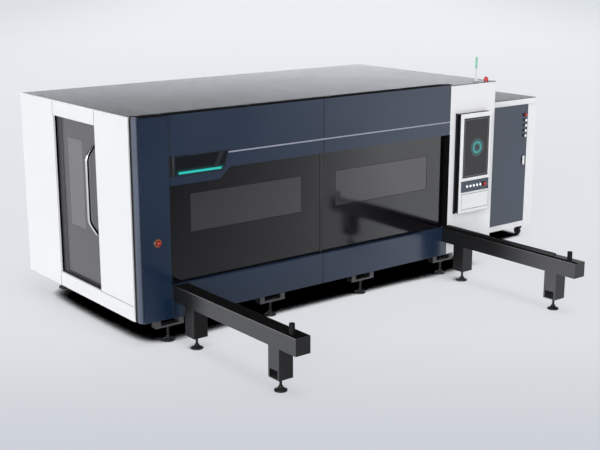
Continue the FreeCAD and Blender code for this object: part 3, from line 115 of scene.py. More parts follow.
# %% [markdown]
# ## Mixing materials
#
# A material is a small network of nodes. A few helpers keep the networks readable: `add`
# makes a node and fills its sockets, with numbers or with links, and `group` starts a
# reusable network with named inputs and outputs.

# %% Helpers for node networks


def fill(tree, node, inputs):
    """Give a node's sockets their values: a socket is linked, anything else is set."""
    for key, value in inputs.items():
        socket = node.inputs[key]
        if isinstance(value, bpy.types.NodeSocket):
            tree.links.new(value, socket)
        else:
            socket.default_value = value


def add(tree, kind, inputs=None, **settings):
    """A new node of one kind, with its settings made and its sockets filled."""
    node = tree.nodes.new(kind)
    for key, value in settings.items():
        setattr(node, key, value)
    fill(tree, node, inputs or {})
    return node


def math_node(tree, operation, *values):
    """The result of one sum on numbers or sockets."""
    node = add(tree, "ShaderNodeMath", dict(enumerate(values)), operation=operation)
    return node.outputs[0]


def vector_node(tree, operation, *values):
    """A node for one sum on vectors, whose results are "Vector" and "Value"."""
    return add(tree, "ShaderNodeVectorMath", dict(enumerate(values)), operation=operation).outputs


def split(tree, vector):
    """The three parts of a vector."""
    return add(tree, "ShaderNodeSeparateXYZ", {0: vector}).outputs


def combined(tree, **parts):
    """A vector made of its parts X, Y and Z, where a missing part is nothing."""
    return add(tree, "ShaderNodeCombineXYZ", parts).outputs[0]


def blend(tree, factor, first, second):
    """A colour between the first, at 0, and the second, at 1."""
    node = add(tree, "ShaderNodeMix", data_type="RGBA")
    fill(tree, node, {0: factor, 6: first, 7: second})
    return node.outputs[2]


def multiplied(tree, colour, level):
    """A colour made darker or brighter by a level."""
    node = add(tree, "ShaderNodeMix", {0: 1.0}, data_type="RGBA", blend_type="MULTIPLY")
    fill(tree, node, {6: colour, 7: level})
    return node.outputs[2]


def remap(tree, value, low, high, to_low=0.0, to_high=1.0):
    """A value moved smoothly from one range to another, and held at its ends."""
    ranges = {0: value, 1: low, 2: high, 3: to_low, 4: to_high}
    return add(tree, "ShaderNodeMapRange", ranges, interpolation_type="SMOOTHSTEP").outputs[0]


def named_sockets(tree, inputs, outputs):
    """Gives a tree its named inputs and outputs, and makes the inner ends of both."""
    for label, kind, value in inputs:
        socket = tree.interface.new_socket(label, in_out="INPUT", socket_type="NodeSocket" + kind)
        if value is not None:
            socket.default_value = value
    for label, kind in outputs:
        tree.interface.new_socket(label, in_out="OUTPUT", socket_type="NodeSocket" + kind)
    return tree, tree.nodes.new("NodeGroupInput").outputs, tree.nodes.new("NodeGroupOutput")


def group(name, inputs, outputs):
    """A new shader group, its inner input and output nodes."""
    return named_sockets(bpy.data.node_groups.new(name, "ShaderNodeTree"), inputs, outputs)


def place_group(tree, made, inputs):
    """One use of a shader group, with its own values."""
    node = tree.nodes.new("ShaderNodeGroup")
    node.node_tree = made
    fill(tree, node, inputs)
    return node.outputs


def bare_material(name):
    """A new material without nodes, and its empty tree."""
    material = bpy.data.materials.new(name)
    material.use_nodes = True
    material.node_tree.nodes.clear()
    return material, material.node_tree


def backdrop_rays(tree, rays):
    """One for rays from the eye, from a mirror or through glass, and nothing for the rest."""
    indirect = math_node(tree, "MAXIMUM", rays["Is Glossy Ray"], rays["Is Transmission Ray"])
    return math_node(tree, "MAXIMUM", rays["Is Camera Ray"], indirect)


print("node helpers ready")

# %% [markdown]
# ## Studio
#
# The machine stands on one seamless pale floor, a product shot's usual ground. The floor is
# so wide that its far edge lies above the picture. Its tint is a straight gradient along the
# photograph's line of sight, counted from the spot below the lens: darkest at the lower edge
# of the picture, palest far behind the machine. It's fixed to the floor and follows no camera.
#
# Polished paint mirrors a second gradient, which the eye doesn't see directly. It too is fixed to the floor:
# dark in front of the machine's left end, brighter to the right. It was set so that the doors reflect what
# they reflect in the photograph.
#
# Most of the floor's brightness is its own, dimmed only where something stands close above it, and its colour
# is darkened there as well: painted shade. So the ground stays bright up to the feet and turns black under
# the base, as in a shot with many large lamps.

# %% The studio floor
FLOOR_RADIUS = 120
FLOOR_SIDES = 96
FLOOR_LEVEL = -0.001

FLOOR_TURN = 38.14
FLOOR_SHIFT = (0.04, 11.6, 0)
LAST_TINT = 80.0
# Each row is a depth in metres along the gradient, and the floor's red, green and blue there.
FLOOR_TINTS = [
    (1.5, 0.76, 0.78, 0.80), (7.3, 0.60, 0.63, 0.68), (10, 0.74, 0.76, 0.79), (44, 0.84, 0.87, 0.91),
]
# Far out at both sides the floor gets a little darker with its depth.
SIDE_START = 6
SIDE_END = 20
SIDE_NEAR = 16
SIDE_FAR = 46
SIDE_LEVEL = 0.86
# The mirrored gradient, in metres from the machine's left front corner.
MIRROR_SLANT = 0.8
MIRROR_GROWTH = 1.5
MIRROR_LEVEL = 0.24
MIRROR_LIMIT = 1.1
MIRROR_OUTSIDE = -0.4
MIRROR_INSIDE = 0.6
# The floor's own light is dimmed where a machine within this many metres hides the sky.
HIDING_DISTANCE = 3.0
HIDDEN_FROM = 0.25
OPEN_FROM = 0.38
OWN_SHARE = 0.75

floor_mesh = bpy.data.meshes.new("studio_floor")
rim = []
for step in range(FLOOR_SIDES):
    turn = math.tau * step / FLOOR_SIDES
    rim.append((FLOOR_RADIUS * math.cos(turn), FLOOR_RADIUS * math.sin(turn), FLOOR_LEVEL))
floor_mesh.from_pydata(rim, [], [tuple(range(FLOOR_SIDES))])
floor = bpy.data.objects.new("studio_floor", floor_mesh)
bpy.context.scene.collection.objects.link(floor)

floor_finish, tree = bare_material("studio_floor")
place = add(tree, "ShaderNodeTexCoord").outputs["Object"]
turned = add(tree, "ShaderNodeMapping", {
    "Vector": place, "Rotation": (0, 0, math.radians(FLOOR_TURN)), "Location": FLOOR_SHIFT}).outputs[0]
across, depth, _ = split(tree, turned)
ramp = add(tree, "ShaderNodeValToRGB", {0: math_node(tree, "DIVIDE", depth, LAST_TINT)})
tints = ramp.color_ramp.elements
for number, (metres, *colour) in enumerate(FLOOR_TINTS):
    tint = tints[number] if number < 2 else tints.new(metres / LAST_TINT)
    tint.position = metres / LAST_TINT
    tint.color = colour + [1]
side_level = remap(tree, depth, SIDE_NEAR, SIDE_FAR, 1.0, SIDE_LEVEL)
side_tint = multiplied(tree, ramp.outputs[0], side_level)
beside = remap(tree, math_node(tree, "ABSOLUTE", across), SIDE_START, SIDE_END)
ground = blend(tree, beside, ramp.outputs[0], side_tint)

from_corner = vector_node(tree, "SUBTRACT", place, at(0, 0, 0))["Vector"]
row_x, row_y, _ = split(tree, from_corner)
slant = math_node(tree, "MULTIPLY_ADD", row_y, MIRROR_SLANT, row_x)
growth = math_node(tree, "MULTIPLY", math_node(tree, "POWER", MIRROR_GROWTH, slant), MIRROR_LEVEL)
wedge = math_node(tree, "MINIMUM", growth, MIRROR_LIMIT)
in_front = remap(tree, row_x, MIRROR_OUTSIDE, MIRROR_INSIDE)
inside = math_node(tree, "MULTIPLY", wedge, in_front)
outside = math_node(tree, "MULTIPLY", math_node(tree, "SUBTRACT", 1.0, in_front), MIRROR_LIMIT)
mirrored = multiplied(tree, ground, math_node(tree, "ADD", inside, outside))
rays = add(tree, "ShaderNodeLightPath").outputs
seen = blend(tree, rays["Is Glossy Ray"], ground, mirrored)

open_sky = add(tree, "ShaderNodeAmbientOcclusion", {"Distance": HIDING_DISTANCE}, samples=32).outputs["AO"]
own_light = remap(tree, open_sky, HIDDEN_FROM, OPEN_FROM)
# Painted shade: the same mask darkens the floor's colour under the machine.
matt = add(tree, "ShaderNodeBsdfDiffuse", {"Color": multiplied(tree, seen, own_light)}).outputs[0]
glow = add(tree, "ShaderNodeEmission", {"Color": seen, "Strength": own_light}).outputs[0]
own_share = math_node(tree, "MULTIPLY", backdrop_rays(tree, rays), OWN_SHARE)
surface = add(tree, "ShaderNodeMixShader", {0: own_share, 1: matt, 2: glow})
add(tree, "ShaderNodeOutputMaterial", {"Surface": surface.outputs[0]})
floor_mesh.materials.append(floor_finish)
print("floor", 2 * FLOOR_RADIUS, "m across")

# %% [markdown]
# A pale dome lights everything, and the eye sees a pale wall behind the floor. Mirrors see
# that wall twice as bright up to six degrees, and a dark ceiling above that, which gives the
# doors and the roof their deep tone. A wide lamp overhead keeps the floor bright, and a
# wide, low lamp from the left front makes the end wall the brightest face.

# %% Sky and lamps
DOME_LIGHT = 0.5
DOME_COLOUR = (1, 0.998, 0.995, 1)
WALL_COLOUR = (0.80, 0.83, 0.88, 1)
# What mirrors see: each row is two angles above the horizon and the levels at both.
MIRRORED_WALL = (5.9, 7.2, 1.0, 0.17)
MIRRORED_GLOW = (6.1, 6.7, 1.05, 0.0)
MIRRORED_CEILING = (9, 16, 1.0, 0.25)

sky = bpy.data.worlds.new("studio_sky")
bpy.context.scene.world = sky
sky.use_nodes = True
tree = sky.node_tree
tree.nodes.clear()
rays = add(tree, "ShaderNodeLightPath").outputs
steepness = split(tree, add(tree, "ShaderNodeTexCoord").outputs["Generated"])["Z"]


def by_angle(low, high, low_level, high_level):
    """A level that changes between two angles above the horizon."""
    low_height, high_height = (math.sin(math.radians(angle)) for angle in (low, high))
    return remap(tree, steepness, low_height, high_height, low_level, high_level)


skyline = math_node(tree, "ADD", by_angle(*MIRRORED_WALL), by_angle(*MIRRORED_GLOW))
in_mirrors = math_node(tree, "MULTIPLY", skyline, by_angle(*MIRRORED_CEILING))
not_eye = math_node(tree, "SUBTRACT", 1.0, rays["Is Camera Ray"])
level = math_node(tree, "ADD", rays["Is Camera Ray"], math_node(tree, "MULTIPLY", not_eye, in_mirrors))
dome = add(tree, "ShaderNodeBackground", {"Color": DOME_COLOUR, "Strength": DOME_LIGHT}).outputs[0]
wall = add(tree, "ShaderNodeBackground", {"Color": WALL_COLOUR, "Strength": level}).outputs[0]
both = add(tree, "ShaderNodeMixShader", {0: backdrop_rays(tree, rays), 1: dome, 2: wall})
add(tree, "ShaderNodeOutputWorld", {"Surface": both.outputs[0]})


def wide_lamp(name, towards, energy, angle):
    """A sun whose light comes from a direction, with soft shadows."""
    lamp = bpy.data.objects.new(name, bpy.data.lights.new(name, "SUN"))
    bpy.context.scene.collection.objects.link(lamp)
    lamp.data.energy = energy
    lamp.data.angle = math.radians(angle)
    lamp.rotation_euler = Vector(towards).to_track_quat("Z", "Y").to_euler()


wide_lamp("overhead_lamp", (-0.05, -0.25, 1.0), energy=1.15, angle=25)
wide_lamp("end_wall_lamp", (-0.80, -0.55, 0.25), energy=1.76, angle=30)
bpy.context.scene.view_settings.view_transform = "Standard"
print("dome and two wide lamps")

# %% [markdown]
# ## Shared effects
#
# Painted sheet is never one flat colour. Four effects come back on nearly every surface, so
# each is a group with named sockets: the fine skin of sprayed powder with its cloudy
# shade, edges rubbed paler by hands and cloths, dust that settles on what faces up, and the
# fine lines that a brush or a cutter leaves in metal.

# %% The four effect groups
PLACE = ("Vector", "Vector", None)


def noise(tree, vector, scale, detail):
    """A cloudy pattern of one size."""
    return add(tree, "ShaderNodeTexNoise", {"Vector": vector, "Scale": scale, "Detail": detail}).outputs[0]


skin_group, given, result = group("sprayed_skin", [
    PLACE, ("Grain", "Float", 700.0), ("Cloud", "Float", 1.4)], [("Fine", "Float"), ("Cloud", "Float")])
fine = noise(skin_group, given["Vector"], given["Grain"], 2.0)
cloud = noise(skin_group, given["Vector"], given["Cloud"], 4.0)
fill(skin_group, result, {"Fine": fine, "Cloud": remap(skin_group, cloud, 0.3, 0.7)})

edge_group, given, result = group("rubbed_edges", [
    PLACE, ("Radius", "Float", 0.004), ("Breaks", "Float", 18.0)], [("Mask", "Float")])
soft = add(edge_group, "ShaderNodeBevel", {"Radius": given["Radius"]}, samples=3).outputs[0]
facing = add(edge_group, "ShaderNodeNewGeometry").outputs["Normal"]
edge = remap(edge_group, vector_node(edge_group, "DOT_PRODUCT", soft, facing)["Value"], 0.995, 0.86)
breaks = remap(edge_group, noise(edge_group, given["Vector"], given["Breaks"], 5.0), 0.35, 0.65)
fill(edge_group, result, {"Mask": math_node(edge_group, "MULTIPLY", edge, breaks)})

dust_group, given, result = group("settled_dust", [
    PLACE, ("Patches", "Float", 3.0)], [("Mask", "Float")])
facing = add(dust_group, "ShaderNodeNewGeometry").outputs["Normal"]
upward = remap(dust_group, split(dust_group, facing)["Z"], 0.3, 0.95)
patches = remap(dust_group, noise(dust_group, given["Vector"], given["Patches"], 6.0), 0.3, 0.8)
fill(dust_group, result, {"Mask": math_node(dust_group, "MULTIPLY", upward, patches)})

line_group, given, result = group("brushed_lines", [
    PLACE, ("Stretch", "Vector", (4.0, 900.0, 900.0))], [("Lines", "Float")])
pulled = vector_node(line_group, "MULTIPLY", given["Vector"], given["Stretch"])["Vector"]
fill(line_group, result, {"Lines": noise(line_group, pulled, 1.0, 3.0)})
print("effect groups:", ", ".join(made.name for made in bpy.data.node_groups))

# %% [markdown]
# ## Finishes
#
# Most of the machine is sheet steel under powder paint. One recipe covers all of its
# colours: a cloudy base colour, paler rubbed edges, a little dust on top, and a fine bump
# for the skin of the powder. Gloss and coat are constants of each finish, so they are set on
# the shader itself.

# %% The paint recipe
DUST_COLOUR = (0.42, 0.41, 0.39, 1)
DUST_ROUGHNESS = 0.4
SKIN_HEIGHT = 0.0004
GLOSS_SPREAD = 0.07
# Worn paint and worn metal: how much brighter, how much paler, and how pale at most.
WORN_PAINT = (1.6, 0.05, 0.95)
WORN_METAL = (1.3, 0.05, 0.95)
# How dark the painted shade makes a rail's paint at the cabin, how dark its end is, and which way that end
# faces.
CABIN_SHADE_LEVEL = 0.06
END_LEVEL = 0.35
END_FACING = (-0.5, -0.9)
NEARLY_BLACK = (0.012, 0.012, 0.013, 1)
DARK_REFLECTION_FACING = (-0.05, 0.22)
HALO_FALL = 1.8


def scaled(colour, gain, lift=0.0, limit=1.0):
    """A colour made brighter or darker, with its alpha."""
    return [min(value * gain + lift, limit) for value in colour[:3]] + [1]


def coated(name, colour, roughness=0.35, specular=0.5, coat=0.0, coat_roughness=0.1, edge_colour=None,
           edge=0.35, dust=0.12, grain=700.0, depth=0.25, variation=0.05, index=1.5):
    """Paint or plastic: a cloudy colour with rubbed edges, dust and a fine skin."""
    material, tree = bare_material(name)
    place = add(tree, "ShaderNodeTexCoord").outputs["Object"]
    skin = place_group(tree, skin_group, {"Vector": place, "Grain": grain})
    rubbed = place_group(tree, edge_group, {"Vector": place})["Mask"]
    dusty = place_group(tree, dust_group, {"Vector": place})["Mask"]
    worn = (*edge_colour, 1) if edge_colour else scaled(colour, *WORN_PAINT)
    clouded = blend(tree, skin["Cloud"], scaled(colour, 1 - variation), scaled(colour, 1 + variation))
    edged = blend(tree, math_node(tree, "MULTIPLY", rubbed, edge), clouded, worn)
    top = math_node(tree, "MULTIPLY", dusty, dust)
    dull = remap(tree, skin["Cloud"], 0, 1, roughness * (1 - GLOSS_SPREAD), roughness * (1 + GLOSS_SPREAD))
    rough = math_node(tree, "ADD", dull, math_node(tree, "MULTIPLY", top, DUST_ROUGHNESS))
    bump = add(tree, "ShaderNodeBump", {"Height": skin["Fine"], "Strength": depth, "Distance": SKIN_HEIGHT})
    shader = add(tree, "ShaderNodeBsdfPrincipled", {
        "Base Color": blend(tree, top, edged, DUST_COLOUR), "Roughness": rough, "Normal": bump.outputs[0],
        "IOR": index, "Specular IOR Level": specular, "Coat Weight": coat, "Coat Roughness": coat_roughness})
    add(tree, "ShaderNodeOutputMaterial", {"Surface": shader.outputs[0]})
    return material


def shader_of(material):
    """The main shader of a material."""
    return next(node for node in material.node_tree.nodes if node.type == "BSDF_PRINCIPLED")


def repainted(material, colour):
    """Gives the main shader another base colour."""
    fill(material.node_tree, shader_of(material), {"Base Color": colour})
    return material


def colour_of(material):
    """The socket that the base colour of a material comes from."""
    return shader_of(material).inputs["Base Color"].links[0].from_socket


def lit(material, light, strength=1.0, mask=None):
    """Gives a finish light of its own, everywhere or where a mask says."""
    tree = material.node_tree
    colour = light if mask is None else blend(tree, mask, (0, 0, 0, 1), light)
    shader_of(material).inputs["Emission Strength"].default_value = strength
    fill(tree, shader_of(material), {"Emission Color": colour})
    return material


def shaded(material, start, end):
    """Paints shade on a rail's paint towards the cabin, from nearly black to full colour, and darkens its
    end.
    """
    tree = material.node_tree
    run = split(tree, add(tree, "ShaderNodeTexCoord").outputs["Object"])["Y"]
    forward = split(tree, add(tree, "ShaderNodeNewGeometry").outputs["True Normal"])["Y"]
    along = remap(tree, run, at(0, start, 0).y, at(0, end, 0).y, CABIN_SHADE_LEVEL, 1.0)
    on_end = remap(tree, forward, *END_FACING, 1.0, END_LEVEL)
    level = math_node(tree, "MULTIPLY", along, on_end)
    return repainted(material, multiplied(tree, colour_of(material), level))


def painted_dark_reflection(material, direction):
    """Paints a dark reflection on polished metal where it faces a direction, in place of a dark thing
    mirrored there.
    """
    tree = material.node_tree
    facing = add(tree, "ShaderNodeNewGeometry").outputs["Normal"]
    towards = vector_node(tree, "DOT_PRODUCT", facing, direction)["Value"]
    turned_to = remap(tree, towards, *DARK_REFLECTION_FACING)
    return repainted(material, blend(tree, turned_to, colour_of(material), NEARLY_BLACK))


def halo(material, centre, half_length, radius, reach):
    """A mask that fades with the distance from a lying bar, or from a ring when the bar has no length."""
    tree = material.node_tree
    place = add(tree, "ShaderNodeTexCoord").outputs["Object"]
    x, _, z = split(tree, vector_node(tree, "SUBTRACT", place, at(*centre))["Vector"])
    past_bar = math_node(tree, "SUBTRACT", math_node(tree, "ABSOLUTE", x), half_length / 1000)
    along = math_node(tree, "MAXIMUM", past_bar, 0.0)
    flat = combined(tree, X=along, Z=z)
    far = math_node(tree, "SUBTRACT", vector_node(tree, "LENGTH", flat)["Value"], radius / 1000)
    near = remap(tree, math_node(tree, "ABSOLUTE", far), reach / 1000, 0.0)
    return math_node(tree, "POWER", near, HALO_FALL)


print("paint recipe ready")

# %% [markdown]
# Bare metal takes its look from its lines. The second recipe draws them along one
# direction, darkens the metal in patches, and lets the lines break up the gloss.

# %% The metal recipe
LINE_HEIGHT = 0.0002
LINE_SHARE = 0.3
METAL_EDGE = 0.4
METAL_EDGE_RADIUS = 0.002


def machined(name, colour, roughness=0.3, stretch=(4.0, 900.0, 900.0), depth=0.2, stain=0.25):
    """Bare metal with fine lines along the axis whose stretch is small, and faint stains."""
    material, tree = bare_material(name)
    place = add(tree, "ShaderNodeTexCoord").outputs["Object"]
    skin = place_group(tree, skin_group, {"Vector": place, "Grain": 300.0, "Cloud": 6.0})
    lines = place_group(tree, line_group, {"Vector": place, "Stretch": stretch})["Lines"]
    rubbed = place_group(tree, edge_group, {"Vector": place, "Radius": METAL_EDGE_RADIUS})["Mask"]
    stained = scaled(colour, 1 - stain)
    clouded = blend(tree, skin["Cloud"], stained, (*colour, 1))
    lined = blend(tree, math_node(tree, "MULTIPLY", lines, LINE_SHARE), clouded, stained)
    worn = scaled(colour, *WORN_METAL)
    edged = blend(tree, math_node(tree, "MULTIPLY", rubbed, METAL_EDGE), lined, worn)
    rough = remap(tree, lines, 0.3, 0.7, roughness * 0.8, roughness * 1.25)
    bump = add(tree, "ShaderNodeBump", {"Height": lines, "Strength": depth, "Distance": LINE_HEIGHT})
    shader = add(tree, "ShaderNodeBsdfPrincipled", {
        "Base Color": edged, "Roughness": rough, "Normal": bump.outputs[0], "Metallic": 1.0})
    add(tree, "ShaderNodeOutputMaterial", {"Surface": shader.outputs[0]})
    return material


print("metal recipe ready")

# %% [markdown]
# Each finish is one row: its colour, its roughness, and whatever differs from the recipe.
# Glass, screens and glowing parts are clean: they have neither rubbed edges nor dust.

# %% Every finish of the machine
CLEAN = {"edge": 0.0, "dust": 0.0}
TURNED = {"stretch": (500.0, 500.0, 8.0), "depth": 0.05}
PAINTS = {
    "white_paint": ((0.84, 0.845, 0.855), 0.42, {"edge": 0.2, "dust": 0.05, "variation": 0.012}),
    "white_plastic": ((0.84, 0.845, 0.855), 0.35, {
        "edge": 0.1, "dust": 0.03, "variation": 0.01, "grain": 1200}),
    "navy_paint": ((0.0072, 0.0212, 0.051), 0.24, {
        "specular": 0.9, "coat": 0.35, "coat_roughness": 0.12, "edge_colour": (0.10, 0.13, 0.18),
        "edge": 0.25, "dust": 0.05}),
    "strip_paint": ((0.064, 0.082, 0.125), 0.3, {"specular": 0.6, "edge_colour": (0.2, 0.23, 0.3)}),
    "roof_paint": ((0.029, 0.029, 0.032), 0.11, CLEAN | {"variation": 0.03}),
    "dark_paint": ((0.012, 0.012, 0.013), 0.36, {
        "edge_colour": (0.12, 0.12, 0.13), "edge": 0.4, "dust": 0.10, "depth": 0.4}),
    "wear_strip_and_shade_black": ((0.004, 0.004, 0.004), 0.85, CLEAN | {"specular": 0.08}),
    "grey_steel_and_shade": ((0.085, 0.085, 0.09), 0.4, {"edge": 0.3, "dust": 0.1}),
    "housing_and_shadow_black": ((0.006, 0.006, 0.007), 0.5, {
        "specular": 0.2, "edge_colour": (0.05, 0.05, 0.055), "dust": 0.02}),
    "door_paint": ((0.0018, 0.0010, 0.0026), 0.09, {
        "specular": 1.0, "index": 1.58, "edge_colour": (0.1, 0.1, 0.11), "dust": 0.0, "depth": 0.05}),
    "end_door_paint": ((0.066, 0.063, 0.067), 0.07, {"specular": 0.8, "dust": 0.03, "depth": 0.1}),
    "end_stile": ((0.115, 0.112, 0.118), 0.1, {
        "specular": 0.8, "edge_colour": (0.3, 0.3, 0.31), "edge": 0.6, "dust": 0.0}),
    "end_glass": ((0.135, 0.130, 0.135), 0.08, CLEAN | {"specular": 0.8, "depth": 0.02}),
    "tinted_glass": ((0.035, 0.031, 0.037), 0.06, CLEAN | {"specular": 1.0, "index": 1.63, "depth": 0.02}),
    "black_plastic": ((0.012, 0.012, 0.013), 0.4, {"edge_colour": (0.08, 0.08, 0.085)}),
    "screen_glass": ((0.012, 0.014, 0.017), 0.08, CLEAN | {"depth": 0.02}),
    "stop_red": ((0.38, 0.012, 0.012), 0.28, {"coat": 0.3, "edge_colour": (0.7, 0.12, 0.1), "dust": 0.05}),
    "lamp_red": ((0.62, 0.02, 0.02), 0.15, {"coat": 0.6, "edge": 0.1, "dust": 0.02}),
    "lamp_green": ((0.25, 0.62, 0.45), 0.15, {"coat": 0.6, "edge": 0.1, "dust": 0.02}),
    "handle_white": ((0.80, 0.80, 0.82), 0.25, {"coat": 0.5, "edge": 0.1, "dust": 0.03}),
    "castor_rubber": ((0.02, 0.02, 0.021), 0.6, {"specular": 0.4, "dust": 0.2}),
    "cast_beam": ((0.34, 0.35, 0.37), 0.45, {"dust": 0.1, "grain": 260, "depth": 0.5}),
    "head_shell": ((0.55, 0.56, 0.58), 0.3, {"dust": 0.05}),
    "badge_sheen": ((0.020, 0.023, 0.029), 0.2, CLEAN),
    "roof_joint": ((0.25, 0.25, 0.26), 0.11, CLEAN),
    "light_line": ((0.34, 0.35, 0.42), 0.35, {"edge": 0.1}),
    # Its pale rubbed edges are wear and a painted highlight round the plate.
    "dark_badge_with_highlight": ((0.010, 0.013, 0.020), 0.25, {
        "edge_colour": (0.25, 0.27, 0.32), "edge": 0.8, "dust": 0.0}),
    "badge_face": ((0.004, 0.005, 0.008), 0.12, CLEAN | {"specular": 0.7, "depth": 0.0}),
    "teal_light": ((0.01, 0.12, 0.11), 0.3, CLEAN),
    "rubber_and_shade_black": ((0.006, 0.006, 0.006), 0.6, {"specular": 0.3, "edge": 0.1, "dust": 0.05}),
    "signal_yellow": ((0.42, 0.105, 0.018), 0.35, {"coat": 0.2, "edge": 0.1, "dust": 0.0}),
    "lamp_pole": ((0.62, 0.63, 0.65), 0.3, {"edge": 0.1}),
    "screen_panel": ((0.020, 0.019, 0.021), 0.12, CLEAN | {"depth": 0.0}),
    "screen_teal": ((0.02, 0.06, 0.06), 0.2, CLEAN | {"depth": 0.0}),
    "screen_dim": ((0.15, 0.155, 0.165), 0.2, CLEAN | {"depth": 0.0}),
    "lit_white": ((0.86, 0.86, 0.86), 0.25, CLEAN | {"coat": 0.4}),
    "foot_black": ((0.012, 0.012, 0.013), 0.35, {"edge_colour": (0.15, 0.15, 0.16), "edge": 0.4}),
    # Pale lines along the rails' top edges: a painted highlight.
    "rail_edge_left": ((0.28, 0.28, 0.29), 0.35, CLEAN),
    "rail_edge_right": ((0.28, 0.28, 0.29), 0.35, CLEAN),
}
METALS = {
    "polished_steel": ((0.62, 0.63, 0.64), 0.12, TURNED | {"stain": 0.1}),
    "ground_steel": ((0.52, 0.53, 0.55), 0.24, {}),
    "zinc_steel": ((0.42, 0.43, 0.45), 0.38, {"stretch": (60.0, 60.0, 60.0), "stain": 0.35}),
    "nozzle_copper": ((0.62, 0.28, 0.16), 0.25, TURNED | {"stain": 0.2}),
    "slat_steel": ((0.23, 0.22, 0.215), 0.5, {"stretch": (900.0, 6.0, 900.0), "stain": 0.5}),
    "handle_metal_and_reflection": ((0.80, 0.80, 0.81), 0.2, {"depth": 0.05, "stain": 0.05}),
}
FINISH = {name: coated(name, colour, dull, **rest) for name, (colour, dull, rest) in PAINTS.items()}
FINISH |= {name: machined(name, colour, dull, **rest) for name, (colour, dull, rest) in METALS.items()}

# Each rail's side, where the painted shade on its paint starts and ends, and its grey; the two greys differ
# only by painted light and shade.
RAIL_SHADES = (("left", -230, -600, 0.062), ("right", -680, -1520, 0.088))
HIGHLIGHT_DELAY = 220
for side, start, end, grey in RAIL_SHADES:
    # Its pale rubbed edges are partly wear and partly a painted highlight.
    paint = coated(f"rail_shade_paint_{side}", (grey, grey, grey * 1.06), 0.4, edge_colour=(0.24, 0.24, 0.25),
                   edge=0.5, dust=0.0, depth=0.35)
    FINISH[f"rail_shade_paint_{side}"] = shaded(paint, start, end)
    shaded(FINISH[f"rail_edge_{side}"], start + HIGHLIGHT_DELAY, end + HIGHLIGHT_DELAY)

# Painted reflection: the handle's side that faces the door is painted dark.
painted_dark_reflection(FINISH["handle_metal_and_reflection"], (0.87, -0.49, 0.0))
lit(FINISH["teal_light"], (0.010, 0.42, 0.38, 1))
lit(FINISH["screen_teal"], (0.04, 0.34, 0.34, 1))
lit(FINISH["lit_white"], (1, 1, 1, 1), 0.35)
BADGE_BAR = (670, -8, 1591)
SCREEN_MIDDLE = (4251, -76, 1421)
bar_glow = halo(FINISH["badge_face"], BADGE_BAR, half_length=232, radius=0, reach=48)
lit(FINISH["badge_face"], (0.005, 0.085, 0.080, 1), mask=bar_glow)
ring_glow = halo(FINISH["screen_panel"], SCREEN_MIDDLE, half_length=0, radius=58, reach=70)
lit(FINISH["screen_panel"], (0.012, 0.13, 0.13, 1), mask=ring_glow)
print(len(FINISH), "finishes mixed")

# %% [markdown]
# ## Softened edges
#
# A folded sheet has a bend radius, and light catches on it. A sharp CAD edge has none, which
# is what makes plain CAD look like paper. Each node of the list below is copied, its loose
# triangles are joined up, its true edges are rounded with the Bevel modifier, and the copy
# takes the node's place on the same body.

# %% Helpers that settle and soften a mesh
SHARP_ANGLE = math.radians(35)
SAME_PLACE = 0.00001
FLAT_ANGLE = math.radians(1)


def as_plain_mesh(item):
    """The mesh of an object as its modifiers leave it."""
    return bpy.data.meshes.new_from_object(item.evaluated_get(bpy.context.evaluated_depsgraph_get()))


def finished(name, mesh, body, finish, edge=0.0, replaces=(), steps=2):
    """A mesh in the row frame becomes a piece: edges rounded, painted, and riding on its body."""
    piece = bpy.data.objects.new(name, mesh)
    bpy.context.scene.collection.objects.link(piece)
    mesh.shade_smooth()
    mesh.set_sharp_from_angle(angle=SHARP_ANGLE)
    if edge:
        bevel = piece.modifiers.new("rounded_edges", "BEVEL")
        bevel.width = edge / 1000
        bevel.segments = steps
        bevel.limit_method = "ANGLE"
        bevel.angle_limit = SHARP_ANGLE
        flat = piece.modifiers.new("flat_faces", "WEIGHTED_NORMAL")
        flat.keep_sharp = True
        flat.weight = 100
        solid = as_plain_mesh(piece)
        piece.modifiers.clear()
        piece.data = solid
    piece.data.name = name
    piece.data.materials.clear()
    piece.data.materials.append(FINISH[finish])
    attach(piece, body)
    if replaces:
        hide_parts(*replaces)
    return piece


def softened(node, edge, finish=None):
    """A CAD node's copy with rounded edges, in the node's place."""
    source = frame["nodes"][node]
    slot = source.data.materials[0].name
    mesh = bpy.data.meshes.new(node)
    form = bmesh.new()
    form.from_mesh(source.data)
    bmesh.ops.remove_doubles(form, verts=form.verts, dist=SAME_PLACE)
    bmesh.ops.dissolve_limit(form, angle_limit=FLAT_ANGLE, verts=form.verts, edges=form.edges)
    form.to_mesh(mesh)
    form.free()
    piece = finished(node + "_sheet", mesh, body_of(source)[0], finish or slot, edge, [node])
    return piece


# Each node's edge radius, in millimetres.
SHEETS = {
    "left_door_surround": 3, "left_front_panel": 3, "left_rear_panel": 3, "rear_panels": 2.5,
    "right_end_panel": 2.5, "roof_panels": 2, "corner_strip": 2.5, "front_pillar": 2.5,
    "upper_band_left": 2.5, "upper_band_right": 2.5, "lower_fascia": 2, "lift_door_panels": 1.5,
    "side_door_leaf": 2.5, "side_door_window": 1, "lift_door_windows": 1, "console_housing": 3,
    "console_bezel": 4, "console_button_plate": 1.2, "keyboard_tray": 2, "cabinet_door": 2,
    "cabinet_shell": 2.5, "cable_duct": 3, "laser_source": 3, "scrap_tray": 2, "runway_beams": 4,
    "rail_stops": 3, "gantry_beam": 3, "head_carriage": 2, "table_frame": 1.5, "bed_frame": 2.5,
    "linear_guides": 1, "castor_fork_left": 1.5, "castor_fork_right": 1.5, "outfeed_rail_left": 3,
    "outfeed_rail_right": 3,
}
OTHER_FINISH = {
    "outfeed_rail_left": "rail_shade_paint_left", "outfeed_rail_right": "rail_shade_paint_right",
    "side_door_window": "end_glass", "console_housing": "housing_and_shadow_black", "rail_stops": "housing_and_shadow_black",
}
